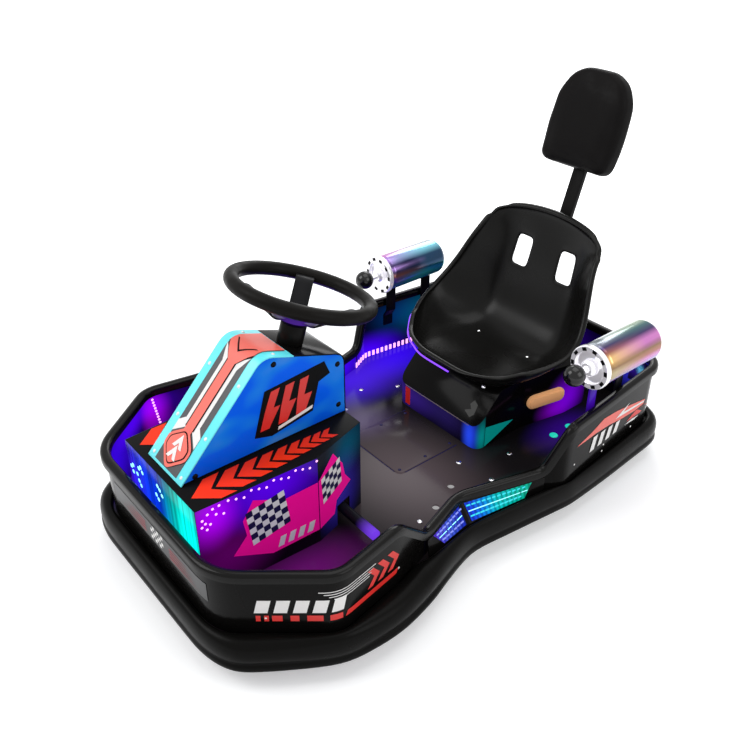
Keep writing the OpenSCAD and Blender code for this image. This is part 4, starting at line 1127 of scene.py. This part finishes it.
class CAR_OT_battery_box(CarPiece, bpy.types.Operator):
    """Battery box under the seat, its lamps, battery and latch"""

    bl_idname = "car.battery_box"
    bl_label = "Battery box"

    def build(self):
        # Painted light on the box: violet and blue glow on the front skirt with a teal corner, violet glow
        # on the lid's sides
        skirt = glow_paint("skirt", (0.004, 0.003, 0.008), 0.22, [
            ((-110, BOX_FRONT, 140), (130, 60, 70), (0.025, 0.008, 0.16), 1.0),
            ((20, BOX_FRONT, 150), (130, 60, 70), (0.012, 0.006, 0.07), 1.0),
            ((122, BOX_FRONT, 135), (34, 26, 90), (0.015, 0.06, 0.8), 1.0),
            ((152, 176, 135), (24, 26, 80), (0.0, 0.22, 0.22), 1.0),
        ])
        lid = glow_paint("lid", tint("black"), 0.14, [
            ((176, 470, 150), (60, 90, 100), (0.14, 0.0, 0.55), 1.0),
            ((-176, 470, 150), (60, 90, 100), (0.14, 0.0, 0.55), 1.0),
            ((165, 420, 120), (40, 70, 50), (0.10, 0.0, 0.25), 1.0),
            ((-150, 330, 130), (40, 200, 90), (0.03, 0.0, 0.25), 1.0),
        ], specular=0.05)

        skirt_top, skirt_back = 0.166, 0.172

        def low(normal, place):
            return 1 if place.z < skirt_top and place.y < skirt_back else 0

        dress("battery_box", [lid, skirt], pick=low, bevel=0.003)
        dress("battery", [PAINTS["satin black"]], bevel=0.004)
        amber = glow_paint("amber", tint("amber"), 0.2, [
            ((0, 440, 190), (900, 900, 60), (0.44, 0.24, 0.12), 1.0),
        ], specular=0.3)
        dress("marker_lamps", [amber], bevel=0.004, steps=3)
        self.details()

    def details(self):
        """Edge line, lit corner facet, latch and tape on the box"""
        front = flat((0, BOX_FRONT, 0), ACROSS, UP, (0, -1, 0))
        # A pale line along the top of the box's front
        edge = paint("bare edge", (0.30, 0.24, 0.22), 0.3, specular=0.4)
        decal("box_edge", [box_shape(-119, 163.2, 119, 166)], front, edge, 2)
        decal("box_tape", [box_shape(-119, 108, -100, 160)], front, PAINTS["graphic red"], 1)
        teal = paint("box teal", (0.0, 0.12, 0.11), 0.3, emit=(0.0, 0.19, 0.17), power=0.8)
        facet = [(187, 102), (206, 108), (288, 140), (240, 150), (187, 160)]
        for side, sign in SIDES:
            face = flat((148 * sign, 0, 0), BACK, UP, (sign, 0, 0))
            decal(f"box_facet_{side}", [facet], face, teal, 1)
        slope = flat((0, BOX_FRONT, 166), ACROSS, (0, 78, 84), (0, -84, 78))
        latch = [[(84, 26), (108, 16), (116, 28), (112, 52), (96, 60), (90, 46), (100, 36)]]
        decal("box_latch", latch, slope, paint("latch", (0.012, 0.012, 0.01), 0.3, specular=0.2), 1)
        studs("box_screws", slope, [(96, 100), (-96, 100)], PAINTS["chrome"], 0.006, 0.002)


class CAR_OT_seat(CarPiece, bpy.types.Operator):
    """Bucket seat: one moulded shell with a rolled rim and two slots, and its bolts"""

    bl_idname = "car.seat"
    bl_label = "Seat"

    # Half width, depth and rise of the shell, then its front edge and the height of its pan, in millimetres
    half, depth, rise = 237, 379, 342
    front, pan = 177, 256.3
    # Cells of its mesh from the front to the top and across
    rows, cols = 28, 24
    # The two belt slots: shares of the half width and of the way to the top
    slot_u, slot_v = (0.25, 0.5), (0.79, 0.89)
    # The rolled lip: steps out past the rim and down from it, in millimetres
    roll = ((3, -3), (9, -4.5), (15, 0), (16, 9))
    # Middle line from the front lip to the top: shares of the depth and the height
    mid = [(0, 0.09), (0.077, 0.024), (0.19, 0.003), (0.325, 0), (0.457, 0), (0.58, 0.008), (0.697, 0.055),
           (0.784, 0.157), (0.836, 0.295), (0.871, 0.435), (0.905, 0.587), (0.95, 0.772), (0.986, 0.936)]
    # Rim beside it: shares of the half width, the depth and the height
    rim = [(0.806, 0.172, 0.169), (0.882, 0.256, 0.181), (0.954, 0.348, 0.195), (0.987, 0.433, 0.222),
           (1, 0.515, 0.26), (0.975, 0.586, 0.327), (0.924, 0.652, 0.418), (0.882, 0.697, 0.511),
           (0.84, 0.736, 0.608), (0.789, 0.781, 0.69), (0.75, 0.826, 0.762), (0.728, 0.866, 0.822),
           (0.712, 0.908, 0.873)]

    def build(self):
        plastic = paint("seat plastic", (0.0042, 0.0040, 0.0036), 0.26, wear=(5, 5, 5), specular=0.14)
        self.shell(plastic)
        pan = flat((0, 0, self.pan), ACROSS, BACK, UP)
        studs("seat_bolts", pan, [(-88, 393), (88, 393)], PAINTS["chrome"], 0.0055, 0.004)

    def between(self, table, v):
        """Smooth curve through the points of a table, v from 0 to 1"""
        last = len(table) - 1
        k = min(int(v * last), last - 1)
        t = v * last - k
        a, b, c, d = [table[min(max(k + n, 0), last)] for n in (-1, 0, 1, 2)]
        made = []
        for p, q, r, w in zip(a, b, c, d):
            bow = 2 * p - 5 * q + 4 * r - w
            twist = 3 * q - p - 3 * r + w
            made.append(0.5 * (2 * q + (r - p) * t + bow * t * t + twist * t ** 3))
        return made

    def point(self, i, j):
        v, u = i / self.rows, 2 * j / self.cols - 1
        e = max(0, (abs(u) - 0.45) / 0.55)
        curl = e * e * (1.5 - 0.5 * e)
        high = min(max((v - 0.86) / 0.14, 0), 1)
        high = high * high * (3 - 2 * high)
        curl += (u * u - curl) * high
        (my, mz), (rx, ry, rz) = self.between(self.mid, v), self.between(self.rim, v)
        x = self.half * rx * u * (1.12 - 0.12 * u * u)
        y = self.front + self.depth * (my + (ry - my) * curl)
        return Vector((x, y, self.pan + self.rise * (mz + (rz - mz) * curl)))

    def shell(self, plastic):
        rows, cols = self.rows, self.cols
        grid = {(i, j): self.point(i, j) for i in range(rows + 1) for j in range(cols + 1)}
        ring = [(i, 0) for i in range(rows)] + [(rows, j) for j in range(cols)]
        ring += [(i, cols) for i in range(rows, 0, -1)] + [(0, j) for j in range(cols, 0, -1)]
        count = len(ring)
        for turn in range(6):
            old = [grid[key] for key in ring]
            for m, key in enumerate(ring):
                grid[key] = old[m] * 0.5 + (old[m - 1] + old[(m + 1) % count]) * 0.25
        bm = bmesh.new()
        verts = {key: bm.verts.new(tub(p)) for key, p in grid.items()}
        for i in range(rows):
            for j in range(cols):
                u, v = abs(2 * (j + 0.5) / cols - 1), (i + 0.5) / rows
                within = self.slot_u[0] < u < self.slot_u[1] and self.slot_v[0] < v < self.slot_v[1]
                if not within:
                    bm.faces.new([verts[i, j], verts[i, j + 1], verts[i + 1, j + 1], verts[i + 1, j]])
        bm.normal_update()
        if verts[rows // 3, cols // 2].normal.z < 0:
            bmesh.ops.reverse_faces(bm, faces=bm.faces)
            bm.normal_update()

        def lip(key, out, drop):
            """Place beside a point of the rim: so far out along the shell and so far below it"""
            inner = grid[min(max(key[0], 1), rows - 1), min(max(key[1], 1), cols - 1)]
            way = (grid[key] - inner).normalized()
            return grid[key] + way * out - verts[key].normal * drop

        loops = [[verts[key] for key in ring]]
        for out, drop in self.roll:
            loops.append([bm.verts.new(tub(lip(key, out, drop))) for key in ring])
        lit = [(i, 0) for i in range(4, 0, -1)] + [(0, j) for j in range(15)]
        below = Vector((0, 0, -11))
        tube("seat_glow", [lip(key, 14, 9) + below for key in lit], 2.2, PAINTS["violet light"])
        for a, b in zip(loops, loops[1:]):
            for m in range(count):
                n = (m + 1) % count
                bm.faces.new([a[m], b[m], b[n], a[n]])
        bmesh.ops.recalc_face_normals(bm, faces=bm.faces)
        bm.normal_update()
        middle = verts[rows // 3, cols // 2]
        if middle.normal.z < 0:
            bmesh.ops.reverse_faces(bm, faces=bm.faces)
        mesh = finish_mesh(bm, "seat_shell_skin", 80)
        seat = add("seat_shell_skin", mesh, [plastic], "chassis", ["seat_shell"])
        wall = seat.modifiers.new("Wall", "SOLIDIFY")
        wall.thickness = sizes().seat_wall
        wall.offset = -1
        wall.use_even_offset = True
        smooth = seat.modifiers.new("Smooth", "SUBSURF")
        smooth.levels = 2
        smooth.render_levels = 2
        settle(seat)


class CAR_OT_headrest(CarPiece, bpy.types.Operator):
    """Headrest post and its padded head, blown up a little as cloth"""

    bl_idname = "car.headrest"
    bl_label = "Headrest"

    def build(self):
        dress("headrest_post", [PAINTS["satin black"]], bevel=0.002)
        leather = paint("leather", (0.0068, 0.0062, 0.0062), 0.42, wear=(40, 40, 40), specular=0.035)
        pad = dress("headrest_pad", [leather], bevel=0.014, steps=4, smooth=70)
        self.inflate(pad)

    def inflate(self, pad):
        """Blow the pad up as cloth over its foam, its back held against the post"""
        lean = math.radians(18)
        ahead = Vector((0, -math.cos(lean), math.sin(lean)))
        even = pad.modifiers.new("Even", "REMESH")
        even.mode = "VOXEL"
        even.voxel_size = sizes().pad_cell
        settle(pad)
        start = [v.co.copy() for v in pad.data.vertices]
        back = min(p.dot(ahead) for p in start)
        held = pad.vertex_groups.new(name="held")
        held.add([i for i, p in enumerate(start) if p.dot(ahead) < back + 0.012], 1.0, "REPLACE")
        cloth = pad.modifiers.new("Cloth", "CLOTH")
        cloth.settings.use_pressure = True
        cloth.settings.uniform_pressure_force = 4
        cloth.settings.effector_weights.gravity = 0
        cloth.settings.vertex_group_mass = "held"
        cloth.settings.quality = 6
        frames = 20
        cloth.point_cache.frame_start = 1
        cloth.point_cache.frame_end = frames
        scene = bpy.context.scene
        for frame_number in range(1, frames + 1):
            scene.frame_set(frame_number)
        graph = bpy.context.evaluated_depsgraph_get()
        blown = [v.co.copy() for v in pad.evaluated_get(graph).data.vertices]
        pad.modifiers.clear()
        scene.frame_set(1)
        for vert, place, move in zip(pad.data.vertices, start, self.evened(pad, start, blown)):
            vert.co = place + move
        smooth = pad.modifiers.new("Smooth", "SUBSURF")
        smooth.levels = 1
        settle(pad)
        pad.vertex_groups.clear()
        for face in pad.data.polygons:
            face.use_smooth = True

    def evened(self, pad, start, blown):
        """How far each point moved, capped and evened out with its neighbours, so that the skin lies taut"""
        most = sizes().pad_swell
        moves = [b - a for a, b in zip(start, blown)]
        moves = [move * min(1.0, most / max(move.length, 1e-9)) for move in moves]
        near = [[] for move in moves]
        for edge in pad.data.edges:
            a, b = edge.vertices
            near[a].append(b)
            near[b].append(a)
        for turn in range(30):
            sums = [move + sum((moves[k] for k in ring), Vector()) for move, ring in zip(moves, near)]
            moves = [total / (len(ring) + 1) for total, ring in zip(sums, near)]
        return moves


class CAR_OT_bottles(CarPiece, bpy.types.Operator):
    """Iridescent bottles, their bands partly painted reflections and highlights, with collars, knobs and
    brackets
    """

    bl_idname = "car.bottles"
    bl_label = "Bottles"

    # Shades that the chrome plays through, linear: its own heat tint together with painted reflections and
    # highlights
    shades = {
        "silver": (0.42, 0.46, 0.50), "pearl": (0.82, 0.76, 0.86), "gold": (0.86, 0.54, 0.22),
        "straw": (0.46, 0.38, 0.22), "bronze": (0.20, 0.11, 0.05), "rust": (0.34, 0.12, 0.09),
        "rose": (0.64, 0.22, 0.56), "lilac": (0.44, 0.24, 0.66), "violet": (0.13, 0.05, 0.55),
        "sky": (0.20, 0.55, 0.68), "teal": (0.05, 0.66, 0.68), "leaf": (0.32, 0.42, 0.30),
        "pine": (0.04, 0.13, 0.14), "ink": (0.05, 0.03, 0.12), "deep": (0.004, 0.04, 0.10),
    }

    def build(self):
        left = self.rainbow("rainbow left", 0.31, 0.43, [
            (0.36, "silver"), (0.46, "silver"), (0.54, "ink"), (0.59, "rust"), (0.63, "gold"),
            (0.66, "gold"), (0.71, "bronze"), (0.75, "straw"), (0.80, "straw"), (0.84, "violet"),
        ], [
            (0.36, "silver"), (0.45, "leaf"), (0.51, "pine"), (0.57, "ink"), (0.62, "rose"), (0.65, "rose"),
            (0.70, "bronze"), (0.74, "rust"), (0.78, "rose"), (0.83, "violet"),
        ])
        right = self.rainbow("rainbow right", 0.27, 0.40, [
            (0.42, "pearl"), (0.48, "rose"), (0.53, "lilac"), (0.63, "ink"), (0.66, "lilac"), (0.69, "ink"),
            (0.73, "rust"), (0.78, "violet"), (0.83, "pine"),
        ], [
            (0.42, "pearl"), (0.48, "silver"), (0.53, "sky"), (0.57, "sky"), (0.63, "deep"), (0.73, "deep"),
            (0.79, "teal"), (0.86, "teal"),
        ])
        cap = paint("bottle cap", (0.42, 0.34, 0.62), 0.2, metal=0.55)

        def side(normal, place):
            if abs(normal.y) > 0.8:
                return 2
            return 0 if place.x > 0 else 1

        dress("bottles", [left, right, cap], pick=side, bevel=0.003, smooth=40)
        # The collars glow a little: a painted sheen
        flange = paint("flange", (0.85, 0.84, 0.86), 0.12, metal=0.7, emit=(0.9, 0.88, 0.95), power=0.25)
        dress("bottle_collars", [flange], bevel=0.0008, smooth=40)
        knob = paint("knob", (0.004, 0.004, 0.004), 0.15, specular=0.35)
        dress("bottle_knobs", [knob], smooth=60)
        glow = [((350, 330, 300), (60, 80, 60), (0.06, 0.0, 0.5), 0.8)]
        lit = glow_paint("bracket", (0.006, 0.006, 0.008), 0.3, glow)
        dress("bottle_brackets", [lit], bevel=0.001)
        self.gaps()

    def gaps(self):
        """Dark gaps round the collar flanges"""
        places = []
        ahead, ring = 16.6, 45.5
        for sign, y, z in BOTTLES:
            for k in range(10):
                a = math.radians(36 * k + 12)
                out = Vector((math.sin(a), 0, math.cos(a)))
                centre = Vector((BOTTLE_X * sign, y - ahead, z)) + out * ring
                places.append((tub(centre), Vector((0, -1, 0)), out.cross(Vector(BACK))))
        dark = PAINTS["graphic black"]
        repeat("collar_gaps", "Dashes", places, dark, length=0.011, width=0.008, height=0.0012)

    def rainbow(self, name, ahead, behind, front, back):
        """Chrome whose bands go round the bottle's axis and change from its front to its back: partly its
        heat tint, partly painted reflections and highlights
        """
        mat = paint(name, (0.6, 0.6, 0.6), 0.16, metal=0.55, specular=0.5)
        tree = mat.node_tree
        coord = tree.nodes.new("ShaderNodeTexCoord")
        parts = tree.nodes.new("ShaderNodeSeparateXYZ")
        tree.links.new(coord.outputs["Object"], parts.inputs["Vector"])

        high, low = [bottle[2] * MM for bottle in BOTTLES]
        side = number_math(tree, "SIGN", parts.outputs["X"])
        axis_x = number_math(tree, "MULTIPLY", side, BOTTLE_X * MM)
        axis_z = number_math(tree, "MULTIPLY_ADD", side, (high - low) / 2, (high + low) / 2)
        dx = number_math(tree, "SUBTRACT", parts.outputs["X"], axis_x)
        dz = number_math(tree, "SUBTRACT", parts.outputs["Z"], axis_z)
        share = number_math(tree, "DIVIDE", number_math(tree, "ARCTAN2", dx, dz), 2 * math.pi)
        turn = number_math(tree, "ADD", share, 0.5)
        along = map_range(tree, parts.outputs["Y"], ahead + MIDDLE_Y * MM, behind + MIDDLE_Y * MM)
        mix = tree.nodes.new("ShaderNodeMix")
        mix.data_type = "RGBA"
        shares = {socket.identifier: socket for socket in mix.inputs}
        tree.links.new(along.outputs["Result"], shares["Factor_Float"])
        outer = [(0.0, "violet"), (0.12, "rose"), (0.22, "gold"), (0.32, "teal")]
        for stops, key in ((front, "A_Color"), (back, "B_Color")):
            bands = [(place, self.shades[shade]) for place, shade in outer + stops]
            tree.links.new(ramp_node(tree, bands, turn), shares[key])
        shade = next(socket for socket in mix.outputs if socket.identifier == "Result_Color")
        tree.links.new(shade, tree.nodes["Principled BSDF"].inputs["Base Color"])
        return mat


class CAR_OT_running_gear(CarPiece, bpy.types.Operator):
    """Fork, drive wheel and rear wheels"""

    bl_idname = "car.running_gear"
    bl_label = "Running gear"

    def build(self):
        tyre = paint("tyre", (0.015, 0.015, 0.015), 0.7)
        for node in ("drive_tyre", "rear_tyre_left", "rear_tyre_right"):
            dress(node, [tyre], smooth=50)
        for node in ("drive_hub", "rear_hub_left", "rear_hub_right"):
            dress(node, [PAINTS["steel"]], smooth=35)
        dress("fork", [PAINTS["satin black"]], bevel=0.0012)
        dress("rear_brackets", [PAINTS["steel"]], bevel=0.0008)


class CAR_OT_stage(CarPiece, bpy.types.Operator):
    """Pale floor, soft lights, white backdrop and the camera"""

    bl_idname = "car.stage"
    bl_label = "Stage"

    def build(self):
        scene = bpy.context.scene
        mesh = bpy.data.meshes.new("stage_floor")
        far = 30
        corners = [(-far, -far, 0), (far, -far, 0), (far, far, 0), (-far, far, 0)]
        mesh.from_pydata(corners, [], [(0, 1, 2, 3)])
        mesh.materials.append(self.floor_paint())
        floor = bpy.data.objects.new("stage_floor", mesh)
        scene.collection.objects.link(floor)
        lamps = [
            ("key", (-1.6, -2.6, 3.2), 2.2, 75),
            ("fill", (3.0, 0.8, 2.2), 2.0, 30),
            ("top", (0.0, 0.6, 3.6), 2.6, 45),
            ("back", (-2.2, 2.6, 2.2), 1.6, 30),
        ]
        aim = Vector((0, 0, 0.3))
        for name, place, width, power in lamps:
            light = bpy.data.lights.new(name, "AREA")
            light.size = width
            light.energy = power
            lamp = bpy.data.objects.new(name, light)
            lamp.location = place
            lamp.rotation_euler = (aim - Vector(place)).to_track_quat("-Z", "Y").to_euler()
            scene.collection.objects.link(lamp)
        self.backdrop(scene)
        self.camera(scene)

    def floor_paint(self):
        """Pale floor that brightens to the white of the backdrop away from the car"""
        mat = paint("stage floor", (0.82, 0.82, 0.82), 0.9, emit=(1, 1, 1), power=0.4, specular=0.0)
        tree = mat.node_tree
        coord = tree.nodes.new("ShaderNodeTexCoord")
        far = vector_length(tree, coord.outputs["Object"])
        grow = map_range(tree, far, 0.7, 2.0, 0.35, 1.0, "SMOOTHSTEP")
        level = number_math(tree, "MULTIPLY", grow.outputs["Result"], self.seen(tree))
        tree.links.new(level, tree.nodes["Principled BSDF"].inputs["Emission Strength"])
        return mat

    def seen(self, tree):
        """One on rays that show the backdrop: from the camera, off metal or through glass"""
        path = tree.nodes.new("ShaderNodeLightPath")
        total = path.outputs["Is Camera Ray"]
        for label in ("Is Glossy Ray", "Is Transmission Ray"):
            total = number_math(tree, "MAXIMUM", total, path.outputs[label])
        return total

    def backdrop(self, scene):
        world = bpy.data.worlds.new("studio")
        scene.world = world
        world.use_nodes = True
        tree = world.node_tree
        soft = tree.nodes["Background"]
        soft.inputs["Color"].default_value = (0.95, 0.97, 1.0, 1)
        soft.inputs["Strength"].default_value = 0.55
        white = tree.nodes.new("ShaderNodeBackground")
        white.inputs["Color"].default_value = (1, 1, 1, 1)
        mix = tree.nodes.new("ShaderNodeMixShader")
        tree.links.new(self.seen(tree), mix.inputs["Fac"])
        tree.links.new(soft.outputs["Background"], mix.inputs[1])
        tree.links.new(white.outputs["Background"], mix.inputs[2])
        tree.links.new(mix.outputs["Shader"], tree.nodes["World Output"].inputs["Surface"])

    def camera(self, scene):
        data = bpy.data.cameras.new("camera")
        data.lens = 41.59
        data.sensor_width = 36
        data.shift_x = 0.0003
        data.shift_y = -0.0246
        cam = bpy.data.objects.new("camera", data)
        cam.location = (1.3192, -1.1421, 1.4321)
        aim = Vector((-0.0006, -0.063, 0.3864))
        cam.rotation_euler = (aim - cam.location).to_track_quat("-Z", "Y").to_euler()
        scene.collection.objects.link(cam)
        scene.camera = cam
        scene.view_settings.view_transform = "Standard"


OPERATORS = [
    CAR_OT_paints, CAR_OT_bumper, CAR_OT_tub, CAR_OT_tub_graphics, CAR_OT_sill_lights, CAR_OT_floor,
    CAR_OT_console, CAR_OT_console_graphics, CAR_OT_steering, CAR_OT_pedals, CAR_OT_battery_box,
    CAR_OT_seat, CAR_OT_headrest, CAR_OT_bottles, CAR_OT_running_gear, CAR_OT_stage,
]


class CAR_PT_panel(bpy.types.Panel):
    """Buttons for the pieces, in the order in which they are built"""

    bl_idname = "CAR_PT_panel"
    bl_label = "Bumper car"
    bl_space_type = "VIEW_3D"
    bl_region_type = "UI"
    bl_category = "Bumper car"

    def draw(self, context):
        for operator in OPERATORS:
            self.layout.operator(operator.bl_idname)
        for group in (context.scene.car_sizes, context.scene.car_colours):
            for key in group.__annotations__:
                self.layout.prop(group, key)


CLASSES = [CarSizes, CarColours, *OPERATORS, CAR_PT_panel]


def register():
    for cls in CLASSES:
        bpy.utils.register_class(cls)
    bpy.types.Scene.car_sizes = bpy.props.PointerProperty(type=CarSizes)
    bpy.types.Scene.car_colours = bpy.props.PointerProperty(type=CarColours)


def unregister():
    del bpy.types.Scene.car_colours
    del bpy.types.Scene.car_sizes
    for cls in reversed(CLASSES):
        bpy.utils.unregister_class(cls)


def main():
    register()
    bpy.ops.car.paints()
    bpy.ops.car.bumper()
    bpy.ops.car.tub()
    bpy.ops.car.tub_graphics()
    bpy.ops.car.sill_lights()
    bpy.ops.car.floor()
    bpy.ops.car.console()
    bpy.ops.car.console_graphics()
    bpy.ops.car.steering()
    bpy.ops.car.pedals()
    bpy.ops.car.battery_box()
    bpy.ops.car.seat()
    bpy.ops.car.headrest()
    bpy.ops.car.bottles()
    bpy.ops.car.running_gear()
    bpy.ops.car.stage()


if __name__ == "__main__":
    main()
